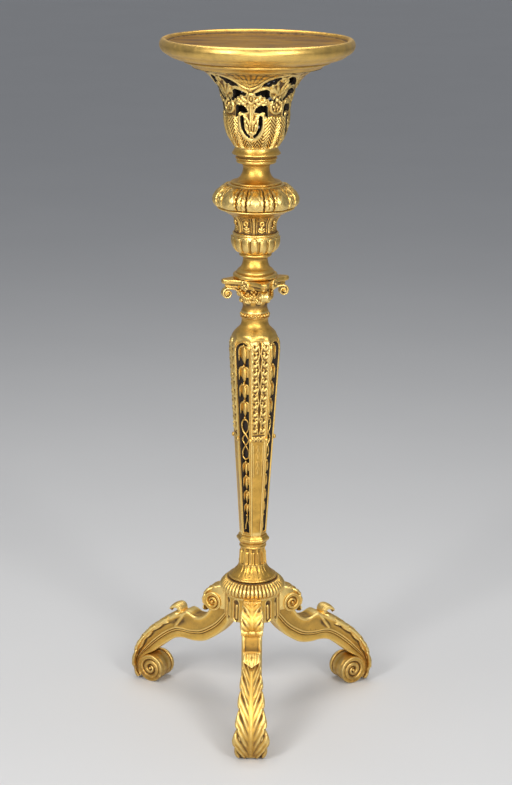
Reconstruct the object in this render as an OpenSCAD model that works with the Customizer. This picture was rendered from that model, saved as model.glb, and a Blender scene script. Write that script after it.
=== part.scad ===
// Giltwood torchere: a tripod candle stand of turned, carved and pierced sections.
// The turned sections stack on round spigots, and the legs slide up into the hub on dovetails.
// Origin: on the floor, on the axis of the column. One leg points to -Y.

/* [Legs and hub] */
// Distance from the column's axis to the middle of each foot scroll
leg_reach = 237.5; // [205:0.5:290]
// Thickness of each leg
leg_w = 41; // [32:1:46]
// Diameter of each foot scroll
foot_d = 71; // [58:1:82]
// Width of each foot scroll
foot_w = 53; // [48:1:64]
// Diameter of the small scroll where each leg meets the hub
knee_scroll_d = 41; // [32:1:48]
// Width of the knee scroll and of the acanthus leaf over it
knee_leaf_w = 49; // [47:1:56]
// Thickness of the carved leaves
leaf_t = 5; // [3:0.5:7]
// Height of the hub's underside above the floor
hub_lift = 199; // [170:1:230]
// Diameter of the hub
hub_d = 114; // [104:1:130]
// Height of the hub
hub_h = 57; // [46:1:70]
// Number of flutes on the hub between two legs
hub_flutes = 7; // [4:1:8]
// Width of each flute
hub_flute_w = 6.5; // [4:0.5:7]
// Depth of the dovetails that join the legs to the hub
dovetail_depth = 14; // [10:1:20]
// Diameter of the wooden peg that locks each dovetail
peg_d = 7; // [5:0.5:9]

/* [Foot of the column] */
// Largest diameter of the gadrooned ring on the hub
gadroon_d = 136; // [124:1:150]
// Height of the gadrooned ring
gadroon_h = 31; // [24:1:40]
// Number of reeds round the gadrooned ring
gadroon_count = 48; // [32:4:56]
// Lower diameter of the flared cap
cap_d = 98; // [84:1:110]
// Height of the flared cap
cap_h = 31; // [22:1:42]
// Diameter of the fluted lower neck
lower_neck_d = 51; // [46:1:60]
// Height of the lower neck
lower_neck_h = 42; // [30:1:60]
// Number of flutes round the lower neck
lower_neck_flutes = 12; // [8:1:14]
// Diameter across the corners of the eight-sided collar
collar_d = 69; // [66:1:80]
// Height of the collar
collar_h = 20; // [14:1:30]

/* [Tapered shaft] */
// Height of the pierced shaft
shaft_h = 420; // [340:1:500]
// Diameter across the corners at the top of the shaft
shaft_top_d = 105; // [96:1:116]
// Diameter across the corners at the foot of the shaft
shaft_foot_d = 53; // [50:1:64]
// Thickness of the pilasters and pierced panels
board_t = 10; // [7:1:12]
// Half of the angle that a pilaster takes, seen from the axis
pilaster_half_angle = 24; // [22:0.5:27]
// Turn of the first pilaster from the direction of the front leg
shaft_turn = 14.7; // [0:0.1:22]
// Width of the frame left at each side of a pierced opening
stile_w = 3.5; // [2.5:0.5:6]
// Height of solid wood above and below a pierced opening
rail_h = 9; // [6:0.5:14]
// Number of husks in each pierced panel
husk_count = 9; // [7:1:11]
// Thickness of the husks
husk_t = 6; // [4:0.5:8]
// Height of the turned buttons above the foot of the shaft
button_rise = 212; // [150:1:260]
// Diameter of the turned buttons
button_d = 11; // [8:0.5:13]
// Height of the domed shoulder on top of the shaft
shoulder_h = 44; // [36:1:60]

/* [Capital] */
// Diameter of the slender neck at the capital
slim_neck_d = 53; // [48:1:60]
// Height of the beaded ring
bead_h = 7; // [5:0.5:9]
// Number of beads
bead_count = 24; // [18:1:28]
// Height of the necking under the volutes
necking_h = 26; // [20:1:36]
// Height of the capital's drum, which the volutes and swags hang on
drum_h = 28; // [24:1:36]
// Diameter of the capital's drum
drum_d = 60; // [54:1:66]
// Height of the abacus
abacus_h = 17; // [12:1:24]
// Distance across the corners of the abacus
abacus_d = 146; // [132:1:160]
// Diameter of the capital's volutes
volute_d = 25; // [20:1:27]
// Width of the capital's volutes
volute_w = 15; // [12:1:18]
// Turn of the first volute from the direction of the front leg
capital_turn = 17; // [0:0.5:25]
// Thickness of the swags between the volutes
swag_d = 9; // [7:0.5:11]
// Diameter of the flower in the middle of each side of the abacus
fleuron_d = 17; // [12:0.5:18]

/* [Plinth, cup and frieze] */
// Height of the turned plinth over the abacus
plinth_h = 51; // [44:1:64]
// Diameter of the plinth's lowest moulding
plinth_d = 89; // [80:1:96]
// Height of the lobed cup
cup_h = 37; // [28:1:48]
// Largest diameter of the lobed cup
cup_d = 96; // [86:1:106]
// Number of lobes round the cup
cup_lobes = 16; // [12:1:20]
// Turn of the middle of a lobe from the direction of the front leg
cup_turn = -3; // [-10:1:10]
// Height of the frieze
frieze_h = 42; // [34:1:54]
// Smallest diameter of the frieze
frieze_d = 80; // [74:1:86]
// Number of upright bars and of rosettes round the frieze
frieze_count = 8; // [6:1:10]
// Turn of the first rosette from the direction of the front leg
frieze_turn = 17.6; // [0:0.1:22]
// Diameter of each rosette
rosette_d = 13; // [10:0.5:15]

/* [Knop and neck] */
// Height of the gadrooned knop
knop_h = 60; // [48:1:76]
// Largest diameter of the knop
knop_d = 174; // [156:1:190]
// Number of lobes round the knop
knop_lobes = 9; // [8:1:12]
// Turn of the middle of a lobe from the direction of the front leg
knop_turn = -1; // [-15:1:15]
// Height of the turned neck
neck_h = 48; // [38:1:62]
// Smallest diameter of the neck
neck_d = 53; // [48:1:60]
// Height of the bevelled ring over the neck
neck_ring_h = 23; // [16:1:32]
// Largest diameter of the bevelled ring
neck_ring_d = 96; // [92:1:106]

/* [Bell and tray] */
// Height of the pierced bell
bell_h = 156; // [130:1:190]
// Diameter of the bell at its rim
bell_rim_d = 252; // [236:1:268]
// Diameter of the bell at its waist
bell_waist_d = 128; // [114:1:140]
// Diameter of the bell at its foot
bell_foot_d = 86; // [76:1:96]
// Thickness of the bell's wall
bell_wall = 10; // [7:0.5:13]
// Thickness of the solid foot of the bell
bell_floor = 24; // [20:1:32]
// Width of the U-shaped slots in the bell
u_slot_w = 6.5; // [4:0.5:9]
// Turn of the bell's first motif from the direction of the front leg
bell_turn = -9.5; // [-20:0.5:0]
// Height of the ring under the tray
tray_ring_h = 14; // [10:1:20]
// Upper diameter of the ring under the tray
tray_ring_d = 288; // [276:1:300]
// Diameter of the tray
tray_d = 380; // [350:1:420]
// Height of the tray
tray_h = 41; // [32:1:52]
// Depth of the dished top
dish_depth = 9; // [6:0.5:14]
// Width of the tray's rim at the top
rim_w = 14; // [9:0.5:22]
// Number of screws that hold the tray to its ring
screw_count = 6; // [4:1:8]
// Diameter of the screws' shanks
screw_d = 4.5; // [3.5:0.5:6]

/* [Joints] */
// Diameter of the spigots that join the turned sections
spigot_d = 24; // [18:1:28]
// Depth that each spigot goes into the next section
spigot_len = 16; // [12:1:20]
// Gap round a spigot, dovetail, peg or screw
fit = 0.15; // [0.1:0.05:0.3]

/* [Hidden] */
legs = 3;
bell_motifs = 4;
leg_step = 360 / legs;
front = -90;
hub_r = hub_d / 2;
foot_r = foot_d / 2;
spigot_r = spigot_d / 2;
socket_r = spigot_r + fit;
foot_flat = 0.5;
// How deep the round faces of the scrolls are sunk
scroll_sink = 2;
// How far the reeds of the gadrooned ring stand out from its outline
reed_swell = 2;
curve_steps = 6;

z_hub = hub_lift;
z_gadroon = z_hub + hub_h;
z_cap = z_gadroon + gadroon_h;
z_lower_neck = z_cap + cap_h;
z_collar = z_lower_neck + lower_neck_h;
z_shaft = z_collar + collar_h;
z_shoulder = z_shaft + shaft_h;
z_bead = z_shoulder + shoulder_h;
z_necking = z_bead + bead_h;
z_drum = z_necking + necking_h;
z_abacus = z_drum + drum_h;
z_plinth = z_abacus + abacus_h;
z_cup = z_plinth + plinth_h;
z_frieze = z_cup + cup_h;
z_knop = z_frieze + frieze_h;
z_neck = z_knop + knop_h;
z_neck_ring = z_neck + neck_h;
z_bell = z_neck_ring + neck_ring_h;
z_tray_ring = z_bell + bell_h;
z_tray = z_tray_ring + tray_ring_h;

gilt = [0.80, 0.60, 0.24];
dark_wood = [0.16, 0.10, 0.06];
plain_wood = [0.62, 0.46, 0.30];
iron = [0.35, 0.34, 0.33];

// A quarter of an ellipse from p to q that leaves p level and reaches q upright
function level_to_upright(p, q, n = curve_steps) = [for (i = [0:n]) let (a = 90 * i / n)
    [p[0] + (q[0] - p[0]) * sin(a), p[1] + (q[1] - p[1]) * (1 - cos(a))]];
// A quarter of an ellipse from p to q that leaves p upright and reaches q level
function upright_to_level(p, q, n = curve_steps) = [for (i = [0:n]) let (a = 90 * i / n)
    [p[0] + (q[0] - p[0]) * (1 - cos(a)), p[1] + (q[1] - p[1]) * sin(a)]];
// A half-round moulding that swells by b over the radius r, from height z0 to z1
function torus(r, z0, z1, b, n = 8) = [for (i = [0:n]) let (a = -90 + 180 * i / n)
    [r + b * cos(a), (z0 + z1) / 2 + (z1 - z0) / 2 * sin(a)]];
// A cubic curve from a to d, pulled towards b and c
function curve(a, b, c, d, n = 8) = [for (i = [0:n]) let (t = i / n, u = 1 - t)
    u * u * u * a + 3 * u * u * t * b + 3 * u * t * t * c + t * t * t * d];
// An arc about m with radius r, between two angles
function arc(m, r, a0, a1, n = 8) = [for (i = [0:n]) let (a = a0 + (a1 - a0) * i / n)
    m + r * [cos(a), sin(a)]];
// The points of a curve, each moved sideways by d, to the left of its run
function aside(pts, d) = [for (i = [0:len(pts) - 1]) let (
    a = pts[max(i - 1, 0)], b = pts[min(i + 1, len(pts) - 1)], v = (b - a) / norm(b - a))
    pts[i] + d * [-v[1], v[0]]];
function reversed(pts) = [for (i = [len(pts) - 1:-1:0]) pts[i]];

// A turned section of height h, with an outline of [radius, height] points from its foot up.
// It stands at height z, with a socket of depth `socket` below and a spigot of length `spigot` above.
module turned(z, h, outline, socket = spigot_len, spigot = spigot_len) {
    bottom = socket > 0 ? [[0, socket + 1], [socket_r, socket + 1], [socket_r, 0]] : [[0, 0]];
    top = spigot > 0 ? [[spigot_r, h], [spigot_r, h + spigot], [0, h + spigot]] : [[0, h]];
    translate([0, 0, z]) rotate_extrude($fn = 72) polygon(concat(bottom, outline, top));
}

// A turned ring of the same kind with a bore right through it
module turned_ring(z, h, outline) {
    translate([0, 0, z]) rotate_extrude($fn = 72)
        polygon(concat([[socket_r, 0]], outline, [[socket_r, h]]));
}

// A closed solid whose outline of [radius, height, relief] points swells into `count` lobes
module lobed(outline, count, steps) {
    around = count * steps;
    rings = len(outline);
    function swell(j) = pow(abs(sin(180 * j / steps)), 0.7) - 0.5;
    points = concat([for (p = outline) for (j = [0:around - 1]) let (a = 360 * j / around,
        r = p[0] + p[2] * swell(j)) [r * cos(a), r * sin(a), p[1]]],
        [[0, 0, outline[0][1]], [0, 0, outline[rings - 1][1]]]);
    sides = [for (i = [0:rings - 2]) for (j = [0:around - 1]) let (k = (j + 1) % around,
        a = i * around + j, b = i * around + k, c = b + around, d = a + around)
        each [[a, c, b], [a, d, c]]];
    caps = [for (j = [0:around - 1]) let (k = (j + 1) % around, top = (rings - 1) * around)
        each [[rings * around, j, k], [rings * around + 1, top + k, top + j]]];
    polyhedron(points, concat(sides, caps));
}

// ---- Legs ----

// A point of the leg's side view: `out` runs from the hub's face, 0, to the foot scroll's middle, 1,
// and `up` from the floor, 0, to the top of the hub, 1
function leg_point(out, up) = [hub_r + out * (leg_reach - hub_r), up * z_gadroon];
foot_middle = [leg_reach, foot_r - foot_flat];
knee_middle = [hub_r + knee_scroll_d * 0.68, z_hub + hub_h * 0.32];
knee_r = knee_scroll_d / 2;
leg_crest = leg_point(0.52, 0.695);
under_hub = [hub_r - 20, z_hub];
belly = leg_point(0.45, 0.453);
knee_top = [hub_r + 9, z_gadroon - 0.5];
heel = foot_middle + foot_r * [cos(100), sin(100)];
// The leg's outer face runs down to the foot and wraps round the outside of the foot scroll
wrap_r = foot_r + 6;
toe_angle = 8;
wrap_end = -50;
toe = foot_middle + wrap_r * [cos(toe_angle), sin(toe_angle)];

leg_underside = concat(
    curve(under_hub, leg_point(0.0, 0.58), leg_point(0.19, 0.453), belly),
    curve(belly, leg_point(0.58, 0.47), leg_point(0.75, 0.44), leg_point(0.86, 0.335)),
    [heel - [0, 4]]);
knee_curve = curve(knee_top, knee_middle + knee_r * [0.55, 1.75], knee_middle + knee_r * [1.05, 1.1],
    knee_middle + knee_r * [0.94, 0.2]);
valley = curve(knee_middle + knee_r * [0.5, -0.75], leg_point(0.25, 0.64), leg_point(0.46, 0.63),
    leg_crest);
shin = curve(leg_crest + [4, 0], leg_point(0.82, 0.585), leg_point(1.2, 0.43), toe, 12);

// The side view of the whole leg, seen with the foot to the right
leg_outline = concat([[0, z_hub]], leg_underside, [foot_middle],
    arc(foot_middle, wrap_r, wrap_end, toe_angle - 5), reversed(shin), reversed(valley),
    [knee_middle], reversed(knee_curve), [[0, z_gadroon - 0.5]]);

// The hooked end of the long leaf, which stands up from the crest of the leg
leaf_hook = concat(
    curve(leg_crest - [1, 4], leg_crest + [-2, 25], leg_crest + [29, 31], leg_crest + [38, 0]),
    curve(leg_crest + [38, 0], leg_crest + [30, 9], leg_crest + [16, 10], leg_crest + [22, -9]));

module in_leg_plane(w) {
    rotate([90, 0, 0]) translate([0, 0, -w / 2]) linear_extrude(w) children();
}

// The shape that trims the long leaf, seen from in front of the leg: widest at the foot scroll
module leaf_front() {
    half = [[foot_w * 0.58, 0], [foot_w * 0.7, foot_r * 0.5], [foot_w * 0.75, foot_r],
        [foot_w * 0.62, foot_r * 2], [leg_w * 0.6, leg_crest[1] * 0.7], [leg_w * 0.5, leg_crest[1] - 8],
        [leg_w * 0.3, leg_crest[1]], [leg_w * 0.3, z_gadroon]];
    rotate([90, 0, 90]) linear_extrude(leg_reach + foot_r * 3)
        polygon(concat([for (p = half) [-p[0], p[1]]], reversed(half)));
}

module leg_leaf_shape() {
    sheath = concat(aside(shin, leaf_t), arc(foot_middle, wrap_r + leaf_t, toe_angle - 4, wrap_end),
        arc(foot_middle, foot_r - 2, wrap_end, toe_angle - 4), reversed(aside(shin, -3)));
    intersection() {
        in_leg_plane(foot_w * 2) union() {
            polygon(sheath);
            polygon(leaf_hook);
        }
        leaf_front();
    }
}

// The groove that follows the leg's lower edge on both faces
module side_groove() {
    run = [for (i = [0:len(leg_underside) - 4]) if (i == 0 || leg_underside[i] != leg_underside[i - 1])
        leg_underside[i]];
    for (side = [-1, 1]) translate([0, side * leg_w / 2, 0])
        in_leg_plane(4) polygon(concat(aside(run, 11), reversed(aside(run, 14.5))));
}

// The round ends of a scroll: a sunk face on each side with the scroll's eye left standing
module scroll_faces(middle, r, w) {
    for (side = [-1, 1]) translate([middle[0], side * w / 2, middle[1]]) rotate([90, 0, 0]) difference() {
        cylinder(r = r * 0.66, h = 2 * scroll_sink, center = true, $fn = 48);
        cylinder(r = r * 0.32, h = 3 * scroll_sink, center = true, $fn = 32);
    }
}

module scroll_drum(middle, r, w) {
    translate([middle[0], 0, middle[1]]) rotate([90, 0, 0]) cylinder(r = r, h = w, center = true, $fn = 64);
}

// The dovetail on the back of the leg, wider at its far end
module dovetail(grow) {
    root = leg_w * 0.26 + grow;
    tip = leg_w * 0.38 + grow;
    linear_extrude(hub_h * 0.8 + grow) polygon([[hub_r + 1, -root], [hub_r - dovetail_depth - grow, -tip],
        [hub_r - dovetail_depth - grow, tip], [hub_r + 1, root]]);
}

module at_leg(i) {
    rotate([0, 0, front + i * leg_step]) children();
}

module peg_shape(grow) {
    translate([hub_r - dovetail_depth / 2, 0, z_hub + hub_h * 0.4]) rotate([90, 0, 0])
        cylinder(d = peg_d + 2 * grow, h = leg_w + 2 * grow, center = true, $fn = 32);
}

module leg(i) {
    color(gilt) at_leg(i) difference() {
        union() {
            difference() {
                union() {
                    difference() {
                        in_leg_plane(leg_w) polygon(leg_outline);
                        side_groove();
                    }
                    scroll_drum(foot_middle, foot_r, foot_w);
                    scroll_drum(knee_middle, knee_r, knee_leaf_w - 2);
                    leg_leaf_shape();
                }
                translate([0, 0, z_hub - fit]) cylinder(r = hub_r + fit, h = hub_h * 2, $fn = 96);
                cylinder(r = hub_r - 24, h = z_gadroon, $fn = 64);
            }
            translate([0, 0, z_hub - fit]) dovetail(0);
        }
        peg_shape(fit);
        scroll_faces(foot_middle, foot_r, foot_w);
        scroll_faces(knee_middle, knee_r, knee_leaf_w - 2);
        translate([0, -foot_w, -foot_r]) cube([leg_reach * 2, foot_w * 2, foot_r]);
    }
}

// The acanthus leaf that lies over the knee scroll, from a lip at the top to a curled end below
module knee_leaf(i) {
    w = knee_leaf_w / 2;
    tip_angle = -46;
    tip = knee_middle + (knee_r + leaf_t * 1.2) * [cos(tip_angle), sin(tip_angle)];
    lip_end = knee_top + [25, 3];
    over_knee = aside(knee_curve, leaf_t);
    color(gilt) at_leg(i) difference() {
        intersection() {
            in_leg_plane(knee_leaf_w) polygon(concat(
                [knee_top + [2, -6]],
                curve(knee_top + [2, 2], knee_top + [12, 2], lip_end - [6, -1.5], lip_end, 5),
                [lip_end - [0, 3]],
                [for (j = [3:8]) over_knee[j]],
                arc(knee_middle, knee_r + leaf_t, 8, tip_angle + 10),
                arc(tip, leaf_t, tip_angle + 60, tip_angle - 170),
                arc(knee_middle, knee_r - 1, tip_angle, 30)));
            translate([0, 0, z_hub]) rotate([90, 0, 90]) linear_extrude(hub_r * 3) polygon(concat(
                [[-w * 0.7, hub_h * 1.3]],
                curve([-w * 0.7, hub_h * 1.05], [-w * 1.1, hub_h * 0.8], [-w * 1.1, hub_h * 0.1], [-w * 0.4, -8]),
                curve([w * 0.4, -8], [w * 1.1, hub_h * 0.1], [w * 1.1, hub_h * 0.8], [w * 0.7, hub_h * 1.05]),
                [[w * 0.7, hub_h * 1.3]]));
        }
        in_leg_plane(knee_leaf_w * 2) polygon(leg_outline);
        scroll_drum(knee_middle, knee_r + fit, knee_leaf_w * 2);
        translate([0, 0, z_gadroon - leaf_t])
            cylinder(r = gadroon_d / 2 + reed_swell + fit, h = gadroon_h * 2, $fn = 96);
    }
}

module leg_pegs() {
    color(plain_wood) for (i = [0:legs - 1]) at_leg(i) intersection() {
        peg_shape(0);
        translate([0, 0, z_hub]) cylinder(r = hub_r - 1, h = hub_h, $fn = 96);
    }
}

// ---- Hub and foot of the column ----

module hub() {
    flute_step = leg_step / (hub_flutes + 5);
    color(gilt) difference() {
        translate([0, 0, z_hub]) rotate_extrude($fn = 96)
            polygon([[socket_r, 0], [hub_r, 0], [hub_r, hub_h], [socket_r, hub_h]]);
        for (i = [0:legs - 1]) at_leg(i) {
            translate([0, 0, z_hub - 1]) dovetail(fit);
            peg_shape(fit);
        }
        for (i = [0:legs - 1]) for (j = [0:hub_flutes - 1])
            rotate([0, 0, front + (i + 0.5) * leg_step + (j - (hub_flutes - 1) / 2) * flute_step])
            translate([hub_r + hub_flute_w * 0.12, 0, z_hub + hub_h * 0.16])
                cylinder(d = hub_flute_w, h = hub_h * 0.68, $fn = 16);
    }
}

module gadroon_ring() {
    r = gadroon_d / 2;
    top_r = cap_d / 2;
    profile = concat(
        [[hub_r, z_gadroon, 0]],
        [for (p = curve([hub_r + 2, 0], [r + 1, 0], [r + 2, gadroon_h * 0.6], [top_r + 4, gadroon_h * 0.86], 7))
            [p[0], z_gadroon + 1 + p[1], 2 * reed_swell]],
        [[top_r + 1, z_cap - 1, 0], [top_r + 1, z_cap, 0]]);
    color(gilt) difference() {
        lobed(profile, gadroon_count, 4);
        translate([0, 0, z_gadroon - 1]) cylinder(r = socket_r, h = gadroon_h + 2, $fn = 48);
    }
}

module hub_cap() {
    r = cap_d / 2;
    top = lower_neck_d / 2 + 2;
    outline = concat([[r, 0], [r + 1, 2], [r, 4], [r - 3, 5]],
        curve([r - 3, 5], [r - 8, cap_h * 0.55], [top + 4, cap_h * 0.6], [top, cap_h]));
    color(gilt) turned_ring(z_cap, cap_h, outline);
}

// The lower neck carries a long spigot below it, which passes through cap and ring into the hub
module lower_neck() {
    r = lower_neck_d / 2;
    tail = cap_h + gadroon_h + hub_h;
    color(gilt) difference() {
        union() {
            turned(z_lower_neck, lower_neck_h, concat([[r + 1.5, 0], [r + 1.5, 3], [r, 4]],
                [[r, lower_neck_h - 8]], torus(r, lower_neck_h - 6, lower_neck_h - 1, 2.5)),
                socket = 0, spigot = 0);
            translate([0, 0, z_lower_neck - tail]) cylinder(r = spigot_r, h = tail + 2, $fn = 48);
        }
        translate([0, 0, z_collar - spigot_len - 1]) cylinder(r = socket_r, h = spigot_len + 2, $fn = 48);
        for (i = [0:lower_neck_flutes - 1]) rotate([0, 0, i * 360 / lower_neck_flutes])
            translate([r + 2, 0, z_lower_neck + 5]) cylinder(d = 7, h = lower_neck_h - 15, $fn = 16);
    }
}

module shaft_collar() {
    color(gilt) translate([0, 0, z_collar]) rotate([0, 0, front + shaft_turn + 22.5]) difference() {
        union() {
            cylinder(d1 = collar_d * 0.88, d2 = collar_d, h = collar_h * 0.25, $fn = 8);
            translate([0, 0, collar_h * 0.25]) cylinder(d = collar_d, h = collar_h * 0.5, $fn = 8);
            translate([0, 0, collar_h * 0.75])
                cylinder(d1 = collar_d, d2 = collar_d * 0.9, h = collar_h * 0.25, $fn = 8);
        }
        translate([0, 0, -1]) cylinder(r = socket_r, h = collar_h + 2, $fn = 48);
    }
}

// ---- Tapered shaft: four pilasters and four pierced panels glued round a core ----

function shaft_r(z) = shaft_foot_d / 2 + (shaft_top_d - shaft_foot_d) / 2 * (z - z_shaft) / shaft_h;
panel_half_angle = 45 - pilaster_half_angle;
function pilaster_angle(i) = front + shaft_turn + 90 * i;
function panel_angle(i) = pilaster_angle(i) + 45;
// Radius of the middle of a panel's face at height z
function panel_face(z) = shaft_r(z) * cos(panel_half_angle);
window_z0 = z_shaft + rail_h;
window_z1 = z_shoulder - rail_h * 0.5;
function window_w(z) = 2 * shaft_r(z) * sin(panel_half_angle) - 2 * stile_w;

// A tapered board between two angles, from `inner` to `outer` below the shaft's corner radius
module board(a0, a1, outer, inner) {
    function corner(z, a, d) = let (r = shaft_r(z) - d) [r * cos(a), r * sin(a), z];
    points = [for (z = [z_shaft, z_shoulder]) each [corner(z, a0, outer), corner(z, a1, outer),
        corner(z, a1, inner), corner(z, a0, inner)]];
    polyhedron(points, [[0, 1, 2, 3], [7, 6, 5, 4], [0, 4, 5, 1], [1, 5, 6, 2], [2, 6, 7, 3], [3, 7, 4, 0]]);
}

// The tapered eight-sided post that the boards make together, `inset` below their corners
module post(inset) {
    angles = [for (i = [0:3]) each [pilaster_angle(i) - pilaster_half_angle,
        pilaster_angle(i) + pilaster_half_angle]];
    points = [for (z = [z_shaft, z_shoulder]) for (a = angles)
        let (r = shaft_r(z) - inset) [r * cos(a), r * sin(a), z]];
    sides = [for (j = [0:7]) let (k = (j + 1) % 8) [j, j + 8, k + 8, k]];
    polyhedron(points, concat([[for (j = [0:7]) j], [for (j = [7:-1:0]) j + 8]], sides));
}

module pilaster(i) {
    color(gilt) board(pilaster_angle(i) - pilaster_half_angle, pilaster_angle(i) + pilaster_half_angle,
        0, board_t);
}

// The arched opening of a pierced panel, seen from outside
module window_shape() {
    w0 = window_w(window_z0) / 2;
    w1 = window_w(window_z1) / 2;
    spring = window_z1 - w1;
    polygon(concat([[-w0, window_z0], [w0, window_z0]], arc([0, spring], w1, 0, 180, 12)));
}

module panel(i) {
    a = panel_angle(i);
    color(gilt) difference() {
        board(a - panel_half_angle, a + panel_half_angle, 0, board_t);
        rotate([90, 0, a + 90]) linear_extrude(shaft_top_d) window_shape();
    }
}

module shaft_core() {
    tenon = collar_h + spigot_len;
    color(dark_wood) union() {
        post(board_t);
        translate([0, 0, z_shaft - tenon]) cylinder(r = spigot_r, h = tenon + 5, $fn = 48);
        translate([0, 0, z_shoulder - 5]) cylinder(r = spigot_r, h = spigot_len + 5, $fn = 48);
    }
}

// One bell-shaped husk that hangs from the origin, with its flat back on the plane y = 0
module husk(w, h) {
    rotate([90, 0, 0]) linear_extrude(husk_t) polygon(concat(
        curve([0, h * 0.5], [w * 0.35, h * 0.42], [w * 0.28, -h * 0.1], [w * 0.5, -h * 0.42], 4),
        [[w * 0.2, -h * 0.2], [0, -h * 0.5], [-w * 0.2, -h * 0.2]],
        reversed(curve([0, h * 0.5], [-w * 0.35, h * 0.42], [-w * 0.28, -h * 0.1], [-w * 0.5, -h * 0.42], 4))));
}

// The string of husks in one opening, with a laced strap at the height of the buttons
module husk_string(i) {
    lace_h = 56;
    lace_z = z_shaft + button_rise;
    back = board_t * cos(panel_half_angle) - fit;
    tilt = atan((panel_face(z_shoulder) - panel_face(z_shaft)) / shaft_h);
    pitch = (window_z1 - window_z0 - lace_h) / (husk_count + 0.5);
    module on_core(z) {
        rotate([0, 0, panel_angle(i) + 90]) translate([0, -(panel_face(z) - back), z])
            rotate([tilt, 0, 0]) children();
    }
    z_up = lace_z + lace_h / 2;
    z_down = lace_z - lace_h / 2;
    above = floor((window_z1 - z_up) / pitch);
    below = floor((z_down - window_z0) / pitch);
    up_pitch = (window_z1 - z_up) / above;
    down_pitch = (z_down - window_z0) / below;
    color(gilt) {
        for (j = [0:above - 1]) let (z = z_up + (j + 0.5) * up_pitch)
            on_core(z) husk(window_w(z) * 0.8, up_pitch * 0.86);
        for (j = [0:below - 1]) let (z = z_down - (j + 0.5) * down_pitch)
            on_core(z) husk(window_w(z) * 0.8, down_pitch * 0.86);
        on_core(lace_z) rotate([90, 0, 0]) linear_extrude(husk_t) lace(window_w(z_down) * 0.42, lace_h);
    }
}

// Two oval loops of strap, one above the other, joined by a small lozenge
module lace(half_w, h) {
    strap = 2.2;
    function oval(a, b) = [for (k = [0:23]) [a * cos(15 * k), b * sin(15 * k)]];
    for (end = [-1, 1]) translate([0, end * h * 0.25]) difference() {
        polygon(oval(half_w, h * 0.25));
        polygon(oval(half_w - strap, h * 0.25 - strap));
    }
    polygon([[0, -half_w], [half_w * 0.8, 0], [0, half_w], [-half_w * 0.8, 0]]);
}

module shaft_buttons() {
    z = z_shaft + button_rise;
    r = button_d / 2;
    color(gilt) difference() {
        for (i = [0:3]) for (side = [-1, 1]) rotate([0, 0, pilaster_angle(i) + side * pilaster_half_angle])
            translate([shaft_r(z) - 2, 0, z]) rotate([0, 90, 0]) rotate_extrude($fn = 32)
                polygon(concat([[0, 0], [r * 0.6, 0]], torus(r * 0.6, 3, 3 + r * 1.2, r * 0.4),
                    [[0, 3 + r * 1.2]]));
        post(-fit);
    }
}

module shaft_shoulder() {
    r = shaft_top_d / 2;
    n = slim_neck_d / 2;
    throat_h = 20;
    dome_h = shoulder_h - throat_h;
    outline = concat(upright_to_level([r, 0], [n + 6, dome_h * 0.8]),
        curve([n + 6, dome_h * 0.8], [n + 2, dome_h * 0.9], [n, dome_h], [n, dome_h + throat_h * 0.3]),
        [[n, shoulder_h]]);
    color(gilt) turned(z_shoulder, shoulder_h, outline, spigot = bead_h + spigot_len);
}

// ---- Capital ----

module bead_ring() {
    r = slim_neck_d / 2 + 1.5;
    profile = [for (i = [0:4]) let (a = -90 + 45 * i)
        [r + 1.5 * cos(a), z_bead + bead_h / 2 * (1 + sin(a)), 3 * cos(a)]];
    color(gilt) difference() {
        lobed(profile, bead_count, 4);
        translate([0, 0, z_bead - 1]) cylinder(r = socket_r, h = bead_h + 2, $fn = 48);
    }
}

// The turned core of the capital: a slim necking below and the drum above it
module capital_necking() {
    n = slim_neck_d / 2;
    d = drum_d / 2;
    outline = concat([[n, 0]], upright_to_level([n, 4], [n - 2, necking_h * 0.4]),
        level_to_upright([n - 2, necking_h * 0.5], [d - 1, necking_h - 3]),
        [[d, necking_h - 2], [d, necking_h + drum_h]]);
    color(gilt) turned(z_necking, necking_h + drum_h, outline, spigot = abacus_h + spigot_len);
}

function volute_angle(i) = front + capital_turn + 90 * i;
// Radius of the middle of each hollow side of the abacus, and the radius of the hollow itself
side_r = abacus_d * 0.29;
hollow_r = abacus_d * 0.62;
corner_w = abacus_d * 0.12;

module abacus() {
    color(gilt) translate([0, 0, z_abacus]) rotate([0, 0, front + capital_turn]) difference() {
        rotate([0, 0, 45]) union() {
            linear_extrude(abacus_h * 0.55) abacus_plan(-2.5);
            translate([0, 0, abacus_h * 0.55]) linear_extrude(abacus_h * 0.45) abacus_plan(0);
        }
        translate([0, 0, -1]) cylinder(r = socket_r, h = abacus_h + 2, $fn = 48);
        for (i = [0:3]) rotate([0, 0, 45 + 90 * i]) translate([side_r - 3, -fleuron_d / 2 - 1, -1])
            cube([abacus_d, fleuron_d + 2, abacus_h + 2]);
    }
}

// The square plan with hollow sides and cut corners, grown by g
module abacus_plan(g) {
    half = abacus_d / 2 * cos(45) + g;
    intersection() {
        difference() {
            square(half * 2, center = true);
            for (i = [0:3]) rotate(90 * i) translate([side_r + hollow_r + g, 0])
                circle(r = hollow_r, $fn = 96);
        }
        rotate(45) square(abacus_d - corner_w * 0.4 + 2 * g, center = true);
    }
}

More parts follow.
